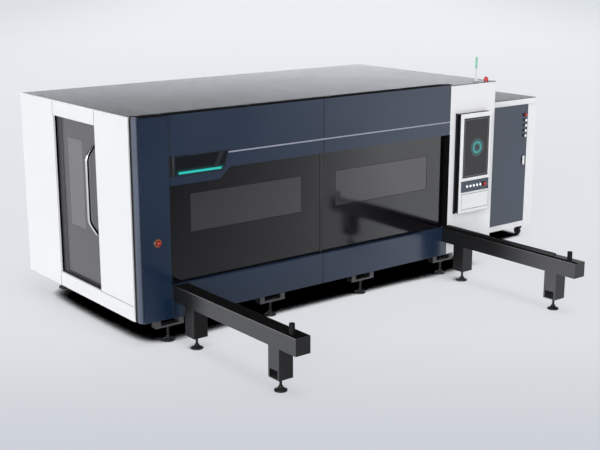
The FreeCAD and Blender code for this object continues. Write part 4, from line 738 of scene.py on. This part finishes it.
# The carriage slides on the gantry beam, so its rounded copy stays clear of the beam's faces.
slide_face = at(565.4, 0, 1215.6)
for node, edge in SHEETS.items():
    sheet = softened(node, edge, OTHER_FINISH.get(node))
    if node == "head_carriage":
        for vert in sheet.data.vertices:
            vert.co.x = max(vert.co.x, slide_face.x)
            vert.co.z = max(vert.co.z, slide_face.z)
print(len(SHEETS), "nodes with softened edges")

# %% [markdown]
# ## Drawing small parts
#
# The small parts are drawn in three ways that a workshop would know: a block, a plate cut to
# an outline, and a shape turned on a lathe. `Form` collects such shapes into one mesh, and
# all its numbers are millimetres. Only the bent handle of the end door needs a fourth way.

# %% The form maker


def rectangle(x, y):
    """The corners of a rectangle between two pairs of values."""
    return [(x[0], y[0]), (x[1], y[0]), (x[1], y[1]), (x[0], y[1])]


def placed(axis, u, v, along):
    """Two numbers across an axis and one along it, in the order x, y, z."""
    return {"x": (along, u, v), "y": (u, along, v), "z": (u, v, along)}[axis]


class Form:
    """A mesh drawn in millimetres from the left end, the fascia and the floor."""

    def __init__(self):
        self.mesh = bmesh.new()

    def plate(self, axis, low, high, outline):
        """An outline pushed from low to high along an axis."""
        rings = []
        for along in (low, high):
            rings.append([self.mesh.verts.new(placed(axis, u, v, along)) for u, v in outline])
        self.mesh.faces.new(rings[0])
        self.mesh.faces.new(reversed(rings[1]))
        for number in range(len(outline)):
            after = (number + 1) % len(outline)
            self.mesh.faces.new((rings[0][number], rings[0][after], rings[1][after], rings[1][number]))
        return self

    def block(self, x, y, z):
        """A block between pairs of values along each axis."""
        return self.plate("z", z[0], z[1], rectangle(x, y))

    def turned(self, axis, centre, profile, steps=40):
        """A shape turned on a lathe: pairs of radius and place along the axis, from one end to the other."""
        looped = profile[0] == profile[-1]
        rings = []
        for radius, along in profile[:-1] if looped else profile:
            ring = []
            for step in range(steps if radius > 0 else 1):
                turn = math.tau * step / steps
                offset = placed(axis, radius * math.cos(turn), radius * math.sin(turn), along)
                ring.append(self.mesh.verts.new(Vector(centre) + Vector(offset)))
            rings.append(ring)
        if looped:
            rings.append(rings[0])
        for first, second in zip(rings, rings[1:]):
            for step in range(steps):
                after = (step + 1) % steps
                loop = [first[step % len(first)], first[after % len(first)],
                        second[after % len(second)], second[step % len(second)]]
                corners = list(dict.fromkeys(loop))
                if len(corners) > 2:
                    self.mesh.faces.new(corners)
        for ring in () if looped else (rings[0], rings[-1]):
            if len(ring) > 1:
                self.mesh.faces.new(ring)
        return self

    def piece(self, name, body, finish, edge=0.0, replaces=(), steps=2):
        """The finished piece: faces point outwards, and the place is in the mesh."""
        bmesh.ops.recalc_face_normals(self.mesh, faces=self.mesh.faces)
        for vert in self.mesh.verts:
            vert.co = at(*vert.co)
        mesh = bpy.data.meshes.new(name)
        self.mesh.to_mesh(mesh)
        self.mesh.free()
        return finished(name, mesh, body, finish, edge, replaces, steps)


print("form maker ready")

# %% [markdown]
# ## Trim of the front
#
# A pale light line runs along the upper band, from the badge to the console. The badge is
# left bare: a dark plate with a slanted end, a slot beside it, and a soft light bar.
# The slanting strip on the plate is painted, and stands for a reflection.

# %% Light line, badge plate and light bar
FRONT_PLATES = {
    "badge_plate": (-7, 1, [(387, 1562), (925, 1562), (990, 1750), (387, 1750)], "dark_badge_with_highlight", 2.5),
    "badge_face": (-8, -6, [(399, 1573), (916, 1573), (973, 1739), (399, 1739)], "badge_face", 1),
    "badge_sheen": (-8.3, -7.9, [(800, 1574), (838, 1574), (930, 1738), (880, 1738)], "badge_sheen", 0),
    "badge_light_bar": (-9.5, -7, [(437, 1580), (894, 1580), (902, 1601), (437, 1601)], "teal_light", 1),
}
Form().block((985, 3893), (-1.4, 2), (1719, 1731)).piece(
    "fascia_light_line", "machine", "light_line", edge=0.6)
for name, (low, high, outline, finish, edge) in FRONT_PLATES.items():
    Form().plate("y", low, high, outline).piece(name, "machine", finish, edge)
# The slot beside the badge is a flat black block: painted shade in place of a recess.
Form().block((352, 378), (-1, 1), (1562, 1757)).piece("badge_slot", "machine", "rubber_and_shade_black", edge=0.5)
Form().block((378, 382), (-2, 1), (1562, 1757)).piece("badge_slot_edge", "machine", "grey_steel_and_shade", edge=0.5)
# A black strip along the right jamb is painted shade in the door's slot.
Form().block((3879.2, 3896.4), (-1.5, 56), (551, 1584)).piece(
    "front_jamb_seal", "machine", "wear_strip_and_shade_black", edge=1.2)
print("front trim made")

# %% [markdown]
# Sheets meet in narrow gaps, which lie in shade. From outside a gap is only a thin black line, so each one is
# filled with a black strip, painted shade: along the front edge of the roof, between the pillar and the
# bands, in the middle of the front, and round the panels of the end wall. Galvanised frames go round three
# sides of the fork pockets under the base.

# %% Gap shade strips and pocket frames
BAY_START = 337
BAY_LENGTH = 1189
ROOF_JOINTS = [338 + 981 * number for number in range(5)]
HALF_JOINT = 4
# Each black strip in a gap, painted shade, and its reach along x, y and z.
GAPS = {
    "roof_front_seal": ((337, 3893), (-1, 53), (2125, 2133)),
    "pillar_top_seal": ((44, 338), (-15, 53), (2125, 2133)),
    "corner_gap_seal": ((14, 21.5), (58.5, 119), (250, 2115)),
    "pillar_gap_seal": ((343, 349), (-0.8, 1), (246, 2128)),
    "upper_middle_seal": ((2122.5, 2129.5), (-0.5, 1), (1590, 2128)),
    "lower_middle_seal": ((2122.5, 2128.5), (-0.5, 1), (244, 549)),
    "end_gap_rear": ((-0.2, 1), (1583, 1587), (1976, 2117)),
    "end_gap_foot": ((-0.2, 1), (1583, 1587), (243, 383)),
    "end_gap_top": ((-0.2, 1), (736, 740), (1977, 2117)),
    "end_gap_low": ((-0.2, 1), (122, 739), (383, 387)),
    "fascia_foot_seal": ((345, 3893), (4, 52), (238, 243)),
    "door_guide_cover": ((3861.5, 3880), (53.5, 55.3), (551, 1584)),
}
BLACKEST = ("roof_front_seal", "pillar_top_seal", "door_guide_cover")
POCKET = [(-151, 149), (151, 149), (151, 240), (97, 240), (97, 169), (-97, 169), (-97, 240), (-151, 240)]
for name, (x, y, z) in GAPS.items():
    Form().block(x, y, z).piece(name, "machine", "wear_strip_and_shade_black" if name in BLACKEST else "rubber_and_shade_black")
# Pale strips along the roof's joints are a painted highlight of the seams.
roof_seam_highlights = Form()
for x in ROOF_JOINTS:
    roof_seam_highlights.block((x - HALF_JOINT, x + HALF_JOINT), (60, 2296), (2119, 2120.4))
roof_seam_highlights.piece("roof_joint_strips", "machine", "roof_joint")
Form().block((2120.5, 2127), (59.4, 61), (558, 1595)).piece(
    "lift_door_middle_seal", "lift_door", "rubber_and_shade_black")
for number in range(4):
    outline = [(BAY_START + BAY_LENGTH * number + u, z) for u, z in POCKET]
    Form().plate("y", 55.5, 58.5, outline).piece(
        f"pocket_frame_{number + 1}", "machine", "grey_steel_and_shade", edge=0.8)
print(len(GAPS) + 1, "gap seals and 4 pocket frames made")

# %% [markdown]
# Each window of the front door sits in a thin rubber gasket. It's drawn as a frame of four
# bars that leaves the glass free.

# %% Window gaskets


def frame_bars(along, level, width):
    """The two upright and the two lying bars of a frame round an opening."""
    wide = (along[0] - width, along[1] + width)
    tall = (level[0] - width, level[1] + width)
    return (((wide[0], along[0]), tall), ((along[1], wide[1]), tall),
            (along, (tall[0], level[0])), (along, (level[1], tall[1])))


WINDOWS = {"left": (594, 1892), "right": (2331, 3615)}
WINDOW_LEVEL = (1010, 1372)
GASKET_WIDTH = 2.5
for side, along in WINDOWS.items():
    gasket = Form()
    for x, z in frame_bars(along, WINDOW_LEVEL, GASKET_WIDTH):
        gasket.plate("y", 59.3, 60.5, rectangle(x, z))
    gasket.piece(f"window_gasket_{side}", "lift_door", "rubber_and_shade_black")
print("2 gaskets made")

# %% [markdown]
# ## Emergency stops
#
# A mushroom button is a turned part: a domed cap with a rolled rim on a short stem. All
# three have a black collar, and the one on the pillar also sits in a yellow ring.

# %% Three emergency stops
# Each stop's place on its face, and the body that its collar rides on.
STOPS = {
    "console_stop": ((4381, -78, 996), "machine"),
    "pillar_stop": ((196, -14, 980), "machine"),
    "cabinet_stop": ((5818, 600, 1560), "cabinet_door"),
}
STOP_CAP = [(0, -30), (9, -29.6), (15, -28), (19.5, -24.5), (21.7, -20), (21.7, -15), (20.5, -11.5),
            (18, -10.2), (11.9, -10), (11.9, 8.9), (0, 8.9)]
STOP_COLLAR = [(12.6, -4), (24, -4), (26, -2.5), (26, 0), (12.6, 0), (12.6, -4)]
YELLOW_RING = [(25.5, -15), (31, -16.5), (35.5, -15), (38, -12), (38.3, -1), (25.5, -1), (25.5, -15)]
for node, (centre, body) in STOPS.items():
    Form().turned("y", centre, STOP_CAP, steps=48).piece(node + "_button", node, "stop_red", replaces=[node])
    Form().turned("y", centre, STOP_COLLAR, steps=48).piece(node + "_button_collar", body, "black_plastic")
Form().turned("y", (196, 0, 980), YELLOW_RING, steps=64).piece("pillar_stop_ring", "machine", "signal_yellow")
print("stops made")

# %% [markdown]
# ## Levelling feet
#
# Each foot is a cast disc with a cone, a plain stud and a hexagonal lock nut. They differ
# only in place and in height, so Geometry Nodes sets one foot on every point and stretches
# one stud to the height that each point carries.

# %% Feet by Geometry Nodes


def node_tree(name, inputs):
    """A Geometry Nodes tree with named inputs, its input sockets and its geometry output."""
    tree = bpy.data.node_groups.new(name, "GeometryNodeTree")
    return named_sockets(tree, [("Geometry", "Geometry", None)] + inputs, [("Geometry", "Geometry")])


def shape_node(tree, kind, inputs=None, **settings):
    """The result of one geometry node."""
    return add(tree, "GeometryNode" + kind, inputs, **settings).outputs[0]


def on_points(tree, points, instance, scale=(1, 1, 1)):
    """A copy of one shape on every point."""
    return shape_node(tree, "InstanceOnPoints", {"Points": points, "Instance": instance, "Scale": scale})


def joined(tree, *parts):
    """Several shapes as one."""
    join = tree.nodes.new("GeometryNodeJoinGeometry")
    for part in parts:
        tree.links.new(part, join.inputs[0])
    return join.outputs[0]


def given_shape(tree, item):
    """The mesh of an object that is given to a tree."""
    return add(tree, "GeometryNodeObjectInfo", {"Object": item}).outputs["Geometry"]


def painted_result(tree, result, instances, paint):
    """Makes the copies real, paints them and sends them out of the tree."""
    real = shape_node(tree, "RealizeInstances", {"Geometry": instances})
    painted = shape_node(tree, "SetMaterial", {"Geometry": real, "Material": paint})
    fill(tree, result, {0: painted})


def grown(name, mesh, tree, values, body, finish, replaces=()):
    """The plain mesh that a Geometry Nodes tree grows from a starting mesh, as a piece."""
    start = bpy.data.objects.new(name + "_start", mesh)
    bpy.context.scene.collection.objects.link(start)
    modifier = start.modifiers.new("grow", "NODES")
    modifier.node_group = tree
    values = values | {"Paint": FINISH[finish]}
    for item in tree.interface.items_tree:
        if item.in_out == "INPUT" and item.name in values:
            modifier[item.identifier] = values[item.name]
    solid = as_plain_mesh(start)
    start.modifiers.clear()
    bpy.data.objects.remove(start)
    return finished(name, solid, body, finish, 0, replaces)


def hidden(name, form, finish):
    """A small part that Geometry Nodes copies: it isn't shown itself, and its place is its own origin."""
    bmesh.ops.recalc_face_normals(form.mesh, faces=form.mesh.faces)
    bmesh.ops.scale(form.mesh, vec=(0.001, 0.001, 0.001), verts=form.mesh.verts)
    mesh = bpy.data.meshes.new(name)
    form.mesh.to_mesh(mesh)
    form.mesh.free()
    mesh.materials.append(FINISH[finish])
    return bpy.data.objects.new(name, mesh)


tree, given, result = node_tree("feet_on_points", [
    ("Foot", "Object", None), ("Stud Radius", "Float", 0.012), ("Nut", "Object", None),
    ("Paint", "Material", None)])
reach = shape_node(tree, "InputNamedAttribute", {"Name": "reach"}, data_type="FLOAT")
points = shape_node(tree, "MeshToPoints", {"Mesh": given["Geometry"]})
feet = on_points(tree, points, given_shape(tree, given["Foot"]))
stud = shape_node(tree, "MeshCylinder", {"Vertices": 24, "Radius": given["Stud Radius"], "Depth": 1.0})
raised = shape_node(tree, "Transform", {"Geometry": stud, "Translation": (0, 0, 0.5)})
tall = combined(tree, X=1.0, Y=1.0, Z=reach)
studs = on_points(tree, points, raised, tall)
lifted = combined(tree, Z=reach)
moved = shape_node(tree, "SetPosition", {"Geometry": points, "Offset": lifted})
nuts = on_points(tree, moved, given_shape(tree, given["Nut"]))
painted_result(tree, result, joined(tree, feet, studs, nuts), given["Paint"])

RAIL_LEFT = {"left": 354, "right": 3824}
LEG_MIDDLE = 76
FOOT_DISC = [(0, 0.2), (54, 0.2), (56.5, 2), (57, 6), (55.5, 10), (51, 12.5), (36, 18), (24, 30), (20, 42),
             (17.5, 46), (0, 46)]
NUT_RADIUS = 26
sixths = [math.tau * number / 6 for number in range(6)]
hexagon = [(NUT_RADIUS * math.cos(turn), NUT_RADIUS * math.sin(turn)) for turn in sixths]
foot_object = hidden("levelling_foot", Form().turned("z", (0, 0, 0), FOOT_DISC), "foot_black")
nut_object = hidden("lock_nut", Form().plate("z", -16, 0, hexagon), "foot_black")
# Each foot's place along and across the machine, and the height of what stands on it.
FEET = [(BAY_START + BAY_LENGTH * bay, y, top) for bay in range(4) for y, top in ((98, 148), (2228, 245))]
FEET += [(left + LEG_MIDDLE, y, 118) for left in RAIL_LEFT.values() for y in (-250, -1520)]
starts = bpy.data.meshes.new("foot_places")
starts.from_pydata([at(x, y, 0) for x, y, top in FEET], [], [])
heights = [top / 1000 - 0.0001 for x, y, top in FEET]
starts.attributes.new("reach", "FLOAT", "POINT").data.foreach_set("value", heights)
grown("levelling_feet_cast", starts, tree, {"Foot": foot_object, "Nut": nut_object, "Stud Radius": 0.012},
      "machine", "foot_black", ["levelling_feet"])
print(len(FEET), "levelling feet set")

# %% [markdown]
# ## Table slats
#
# The sheet lies on the tips of toothed slats, so that the cut falls free. They are laser cut
# themselves. One tree draws a strip, lifts every second point of its upper edge, gives it
# its thickness, and repeats it along the table.

# %% Slats by Geometry Nodes
tree, given, result = node_tree("toothed_slats", [
    ("Slats", "Int", 30), ("Pitch", "Float", 0.11), ("Teeth", "Int", 20), ("Length", "Float", 1.48),
    ("Root", "Float", 0.025), ("Tip", "Float", 0.045), ("Thickness", "Float", 0.006),
    ("Paint", "Material", None)])
columns = math_node(tree, "MULTIPLY_ADD", given["Teeth"], 2.0, 1.0)
strip = shape_node(tree, "MeshGrid", {
    "Size X": given["Root"], "Size Y": given["Length"], "Vertices X": 2, "Vertices Y": columns})
number = shape_node(tree, "InputIndex")
place = split(tree, shape_node(tree, "InputPosition"))
upper = math_node(tree, "GREATER_THAN", place["X"], 0.0)
odd = math_node(tree, "MODULO", math_node(tree, "MODULO", number, columns), 2.0)
tooth = math_node(tree, "MULTIPLY", odd, math_node(tree, "SUBTRACT", given["Tip"], given["Root"]))
height = math_node(tree, "MULTIPLY", upper, math_node(tree, "ADD", given["Root"], tooth))
upright = combined(tree, Y=place["Y"], Z=height)
stood = shape_node(tree, "SetPosition", {"Geometry": strip, "Position": upright})
pushed = shape_node(tree, "ExtrudeMesh", {
    "Mesh": stood, "Offset Scale": given["Thickness"], "Individual": False}, mode="FACES")
back = shape_node(tree, "FlipFaces", {"Mesh": stood})
whole = shape_node(tree, "MergeByDistance", {"Geometry": joined(tree, pushed, back), "Distance": 0.0001})
pitch = combined(tree, X=given["Pitch"])
row = shape_node(tree, "MeshLine", {"Count": given["Slats"], "Offset": pitch})
painted_result(tree, result, on_points(tree, row, whole), given["Paint"])

nothing = bpy.data.meshes.new("none")
slats = grown("table_slats_toothed", nothing, tree, {}, "table", "slat_steel", ["table_slats"])
low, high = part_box("table_slats")
first_x = min(vert.co.x for vert in slats.data.vertices)
slats.data.transform(Matrix.Translation((low.x - first_x, (low.y + high.y) / 2, low.z)))
print(len(slats.data.vertices), "points in the toothed slats")

# %% [markdown]
# ## Cutting head and guide screws
#
# The head is turned: a wide collar with two grooves, a steel neck, and a copper nozzle that
# points down at the sheet. The linear guides are screwed down every 100 mm; one tree sets a
# socket screw on each point.

# %% Head by turning, screws by Geometry Nodes
HEAD_AXIS = (660, 480, 0)
BARREL = [(0, 965), (33, 965), (47.2, 995), (47.2, 1040), (45, 1041), (45, 1043), (47.2, 1044), (47.2, 1090),
          (45, 1091), (45, 1093), (47.2, 1094), (47.2, 1213.4), (0, 1213.4)]
NECK = [(0, 838), (10.9, 840), (32.8, 887.5), (32.8, 940), (30, 942), (30, 950), (32.8, 952), (32.8, 966),
        (0, 966)]
NOZZLE = [(0, 810), (3.6, 810), (10.6, 821), (10.6, 838.5), (0, 838.5)]
Form().turned("z", HEAD_AXIS, BARREL, steps=48).piece(
    "head_collar_turned", "head", "head_shell", replaces=["cutting_head"])
Form().turned("z", HEAD_AXIS, NECK).piece("head_neck_turned", "head", "ground_steel")
Form().turned("z", HEAD_AXIS, NOZZLE, steps=32).piece("head_nozzle_turned", "head", "nozzle_copper")
Form().block((595, 615), (432.5, 527.5), (1115.2, 1360)).piece(
    "head_slide_plate", "head", "ground_steel", edge=2)
Form().block((615, 640), (456.5, 503.5), (1115.5, 1188)).piece(
    "head_bracket_block", "head", "head_shell", edge=2)

tree, given, result = node_tree("screws_on_points", [("Screw", "Object", None), ("Paint", "Material", None)])
points = shape_node(tree, "MeshToPoints", {"Mesh": given["Geometry"]})
painted_result(tree, result, on_points(tree, points, given_shape(tree, given["Screw"])), given["Paint"])
SOCKET_SCREW = [(0, -0.5), (6.2, -0.5), (6.2, 1.0), (5.5, 1.6), (3, 1.6), (3, 0), (0, 0)]
SCREWS = [(200 + 100 * number, y, 1190) for number in range(43) for y in (230, 2140)]
screw_object = hidden("socket_screw", Form().turned("z", (0, 0, 0), SOCKET_SCREW, steps=16), "foot_black")
starts = bpy.data.meshes.new("screw_places")
starts.from_pydata([at(*screw) for screw in SCREWS], [], [])
grown("guide_screws", starts, tree, {"Screw": screw_object}, "machine", "foot_black")
print("head turned,", len(SCREWS), "guide screws set")

# %% [markdown]
# ## Turned and bent parts
#
# Table wheels, castors, lamps and the handle of the end door are round. Each profile is half
# of a section through the part: a hub and a rim for a table wheel, a tread and a hub for a
# castor, ribs for the beacon.

# %% Table wheels
WHEEL = [(10.9, 0), (19, 0), (20.5, 1.5), (24, 1.5), (25.6, 3.5), (25.6, 24.5), (24, 26.5), (20.5, 26.5),
         (19, 28), (10.9, 28)]
AXLE = [(0, 0), (9.5, 0), (10.9, 1.5), (10.9, 3486.5), (9.5, 3488), (0, 3488)]
AXLE_LEVEL = 576
WHEEL_STARTS = (372, 3832)
for end, y in (("front", 560), ("rear", 1920)):
    body = f"table_wheels_{end}"
    form = Form()
    for x in WHEEL_STARTS:
        form.turned("x", (x, y, AXLE_LEVEL), WHEEL)
    form.turned("x", (WHEEL_STARTS[0], y, AXLE_LEVEL), AXLE, steps=24)
    form.piece(body + "_turned", body, "ground_steel", replaces=[body])
print("table wheels turned")

# %% Castors
TREAD = [(30, -12.5), (43, -12.5), (47.5, -11), (49.6, -7), (50, 0), (49.6, 7), (47.5, 11), (43, 12.5),
         (30, 12.5), (30, -12.5)]
HUB = [(6.2, -14.9), (12, -14.9), (13.5, -13), (16, -9), (27, -8), (30.5, -11), (30.5, 11), (27, 8), (16, 9),
       (13.5, 13), (12, 14.9), (6.2, 14.9), (6.2, -14.9)]
for side, x in (("left", 5156), ("right", 5924)):
    for end, y in (("front", 724), ("rear", 1344)):
        body = f"castor_wheel_{end}_{side}"
        Form().turned("x", (x, y, 50), TREAD, steps=56).piece(
            body + "_tread", body, "castor_rubber", replaces=[body])
        Form().turned("x", (x, y, 50), HUB).piece(body + "_hub", body, "black_plastic")
print("castors turned")

# %% Beacon and alarm lamp
POLE = [(0, 0), (38, 0), (38, 6), (36, 8), (24, 11), (17, 17), (9, 30), (6, 36), (6, 140), (0, 140)]
RIB = [(12, 0), (12, 22), (10.8, 22.6), (10.8, 23.9)]
RIB_PITCH = 24.4
BEACON_CAP = [(10.5, 121.2), (7, 122), (0, 122)]
DOME_FOOT = [(0, 0), (26, 0), (26, 5), (24, 6), (24, 13)]
DOME_RADIUS = 24
DOME_RISE = 26
DOME_START = 14
Form().turned("z", (4433, 150, 2120), POLE).piece(
    "beacon_pole_turned", "machine", "lamp_pole", replaces=["beacon_pole"])
ribs = [(radius, RIB_PITCH * number + z) for number in range(5) for radius, z in RIB]
beacon = [(0, 0)] + ribs[:-2] + BEACON_CAP
Form().turned("z", (4433, 150, 2260), beacon, steps=32).piece(
    "beacon_lamp_ribbed", "machine", "lamp_green", replaces=["beacon_lamp"])
dome = list(DOME_FOOT)
for step in range(10):
    turn = step * math.pi / 20
    dome.append((DOME_RADIUS * math.cos(turn), DOME_START + DOME_RISE * math.sin(turn)))
dome.append((0, DOME_START + DOME_RISE))
Form().turned("z", (4562, 118, 2120), dome).piece(
    "alarm_lamp_dome", "machine", "lamp_red", replaces=["alarm_lamp"])
print("lamps made")

# %% [markdown]
# The handle is one bent stainless tube. A curve with rounded corners carries a round bevel,
# which bends more smoothly than straight runs joined by balls.

# %% Handle of the end door
BEND_STEPS = (0, 0.17, 0.33, 0.5, 0.67, 0.83, 1)


def bent_tube(name, points, radius, body, finish, replaces=(), bend=40):
    """A round tube along straight runs whose corners are bent."""
    path = [Vector(points[0])]
    for before, here, after in zip(points, points[1:], points[2:]):
        here = Vector(here)
        start, end = (here + (Vector(other) - here).normalized() * bend for other in (before, after))
        path += [start.lerp(here, t).lerp(here.lerp(end, t), t) for t in BEND_STEPS]
    path.append(Vector(points[-1]))
    curve = bpy.data.curves.new(name, "CURVE")
    curve.dimensions = "3D"
    spline = curve.splines.new("POLY")
    spline.points.add(len(path) - 1)
    for knot, where in zip(spline.points, path):
        knot.co = (*at(*where), 1)
    curve.bevel_depth = radius / 1000
    curve.bevel_resolution = 6
    curve.use_fill_caps = True
    item = bpy.data.objects.new(name, curve)
    mesh = bpy.data.meshes.new_from_object(item)
    bpy.data.objects.remove(item)
    return finished(name, mesh, body, finish, 0, replaces)


BOW = [(58, 872, 908), (-20, 872, 1039), (-20, 872, 1656), (58, 872, 1768)]
bent_tube("side_door_bow", BOW, 16.5, "side_door", "handle_metal_and_reflection", ["side_door_handle"])
print("handle bent")

# %% [markdown]
# The leaf of the end door has a dark stile along its rear side, with a bright edge in front of it. What shows
# past the leaf is a black lining of the opening: painted shade of the dark gap and the reveal.

# %% Shade lining and stile of the end door
lining = Form().block((92, 96), (1592, 1850), (362, 2008)).block((23, 91), (738.5, 741), (386, 1973))
lining.piece("side_door_lining", "machine", "rubber_and_shade_black")
Form().block((58.6, 61), (1530, 1621), (377, 1988)).piece(
    "side_door_stile", "side_door", "end_stile", edge=0.6)
Form().block((58.2, 61), (1526, 1530), (377, 1988)).piece("side_door_stile_edge", "side_door", "zinc_steel")
print("end door dressed")

# %% [markdown]
# ## Console
#
# The console is a tall screen over a row of lit buttons and a folding keyboard tray. Its
# screen shows a plain interface: rings inside a thin frame, all drawn by this lesson. They
# are flat plates a fraction of a millimetre proud.

# %% Screen, rings and seams
# Each ring's inner radius, its width and its finish.
SCREEN_RINGS = ((51, 12, "screen_teal"), (92, 2.5, "screen_dim"), (42, 2, "screen_dim"))
FRAME_LINES = (((4050, 4056), (1108, 1740)), ((4416, 4422), (1108, 1740)),
               ((4050, 4422), (1108, 1114)), ((4050, 4422), (1734, 1740)))
TRAY_SHADE_LINES = (((4026, 4456), (909, 913)), ((4026, 4456), (738, 742)),
              ((4026, 4029), (742, 909)), ((4453, 4456), (742, 909)))
KEY = [(0, -8), (9.5, -8), (12, -6.6), (12.9, -4.5), (12.9, 7.9), (0, 7.9)]
KEY_RING = [(13.1, -2.4), (16.5, -2.4), (17.5, 0), (13.1, 0), (13.1, -2.4)]
KEY_START = 4111
KEY_PITCH = 53

Form().block((4040, 4432), (-75.6, -74), (1098, 1750)).piece(
    "screen_panel", "machine", "screen_panel", edge=0.4)
for radius, width, finish in SCREEN_RINGS:
    outer = radius + width
    ring = [(radius, -0.6), (outer, -0.6), (outer, 0.6), (radius, 0.6), (radius, -0.6)]
    Form().turned("y", SCREEN_MIDDLE, ring, steps=72).piece(f"screen_ring_{radius}", "machine", finish)
frame_line = Form()
for x, z in FRAME_LINES:
    frame_line.block(x, (-76.2, -75), z)
frame_line.piece("screen_frame_line", "machine", "screen_dim")
for number in range(5):
    centre = (KEY_START + KEY_PITCH * number, -78, 996)
    button = f"console_button_{number + 1}"
    Form().turned("y", centre, KEY, steps=36).piece(
        f"console_key_{number + 1}", button, "lit_white", replaces=[button])
    Form().turned("y", centre, KEY_RING, steps=36).piece(
        f"console_key_ring_{number + 1}", "machine", "polished_steel")
Form().block((4427, 4451), (-84, -77), (934, 956)).piece(
    "console_port_cap", "machine", "black_plastic", edge=3)
# Painted shadow: a dark strip on the column left of the housing.
gasket = [(-24, 694), (-24, 1806), (0, 1812), (0, 688)]
Form().plate("x", 3976, 3998, gasket).piece("console_gasket", "machine", "housing_and_shadow_black", edge=4)
# Grey lines round the tray mark its gaps; the lower one is painted shade.
tray_shade_lines = Form()
for x, z in TRAY_SHADE_LINES:
    tray_shade_lines.block(x, (-78.4, -77.9), z)
tray_shade_lines.piece("tray_edge_lines", "keyboard_tray", "grey_steel_and_shade")
print("console dressed")

# %% [markdown]
# ## Laser cabinet
#
# The cabinet's dark top sheet lies in a white moulded rim. The door carries four pilot
# lamps in black collars below its emergency stop, and a white swing handle.

# %% Cabinet trim
PILOT = [(0, -30.5), (8, -30), (12.5, -28.5), (14.5, -26), (14.5, -23.8), (0, -23.8)]
PILOT_COLLAR = [(0, -12), (15.9, -12), (16, -10), (16, -1), (0, -1)]
PILOT_TOP = 1495
PILOT_PITCH = 64
Form().block((5052.2, 6027.8), (592.2, 1407.8), (1690, 1758)).piece(
    "cabinet_top_rim", "machine", "white_paint", edge=10, replaces=["cabinet_top"], steps=4)
Form().block((5062, 6018), (602, 1398), (1757, 1765)).piece(
    "cabinet_top_sheet", "machine", "roof_paint", edge=2.5)
for number in range(4):
    centre = (5818, 600, PILOT_TOP - PILOT_PITCH * number)
    Form().turned("y", centre, PILOT, steps=36).piece(
        f"cabinet_lamp_{number + 1}", "cabinet_door", "lit_white")
    Form().turned("y", centre, PILOT_COLLAR, steps=36).piece(
        f"cabinet_lamp_collar_{number + 1}", "cabinet_door", "black_plastic")
Form().block((5797, 5827), (578.3, 593.7), (941, 1051)).piece(
    "cabinet_lever_grip", "cabinet_lever", "handle_white", edge=6, replaces=["cabinet_lever"], steps=4)
Form().block((5790, 5834), (597.5, 601), (935, 1062)).piece(
    "cabinet_lever_plate", "cabinet_door", "black_plastic", edge=2)
print("cabinet dressed")

# %% [markdown]
# ## Outfeed rails
#
# The rails' tops carry a black wear strip, so they look darker than the painted sides, and a pale line along
# each rail's top edge is a painted highlight. The table's guide strip on the right rail has a black cover,
# with a painted highlight along its edge.

# %% Wear strips and painted highlights
STRIP_END = {"left": 149, "right": 61}
for side, left in RAIL_LEFT.items():
    strip = (left + 3, left + STRIP_END[side])
    Form().block(strip, (-1817, -1), (549, 550.2)).piece(f"rail_wear_strip_{side}", "machine", "wear_strip_and_shade_black")
    # Painted highlight along the rail's top edge.
    Form().block((left - 0.3, left + 3), (-1818, -12), (547, 550.1)).piece(
        f"rail_edge_{side}", "machine", f"rail_edge_{side}", edge=1)
Form().block((3886.5, 3925.5), (-1499.5, -1), (562, 575)).piece(
    "guide_strip_cover", "machine", "wear_strip_and_shade_black", edge=2)
# A pale strip along the guide strip's cover: a painted highlight.
Form().block((3886, 3889.5), (-1499, -2), (571.5, 575.2)).piece("guide_strip_edge", "machine", "zinc_steel")
print("rails dressed")

# %% Paint what is left of the CAD model
for source in frame["nodes"].values():
    source.data.materials[0] = FINISH[source.data.materials[0].name.split(".")[0]]
print("CAD nodes painted")

# %% [markdown]
# ## Last update

# The dressed machine may not be bigger than its CAD model.

# %% Update the view layer
bpy.context.view_layer.update()
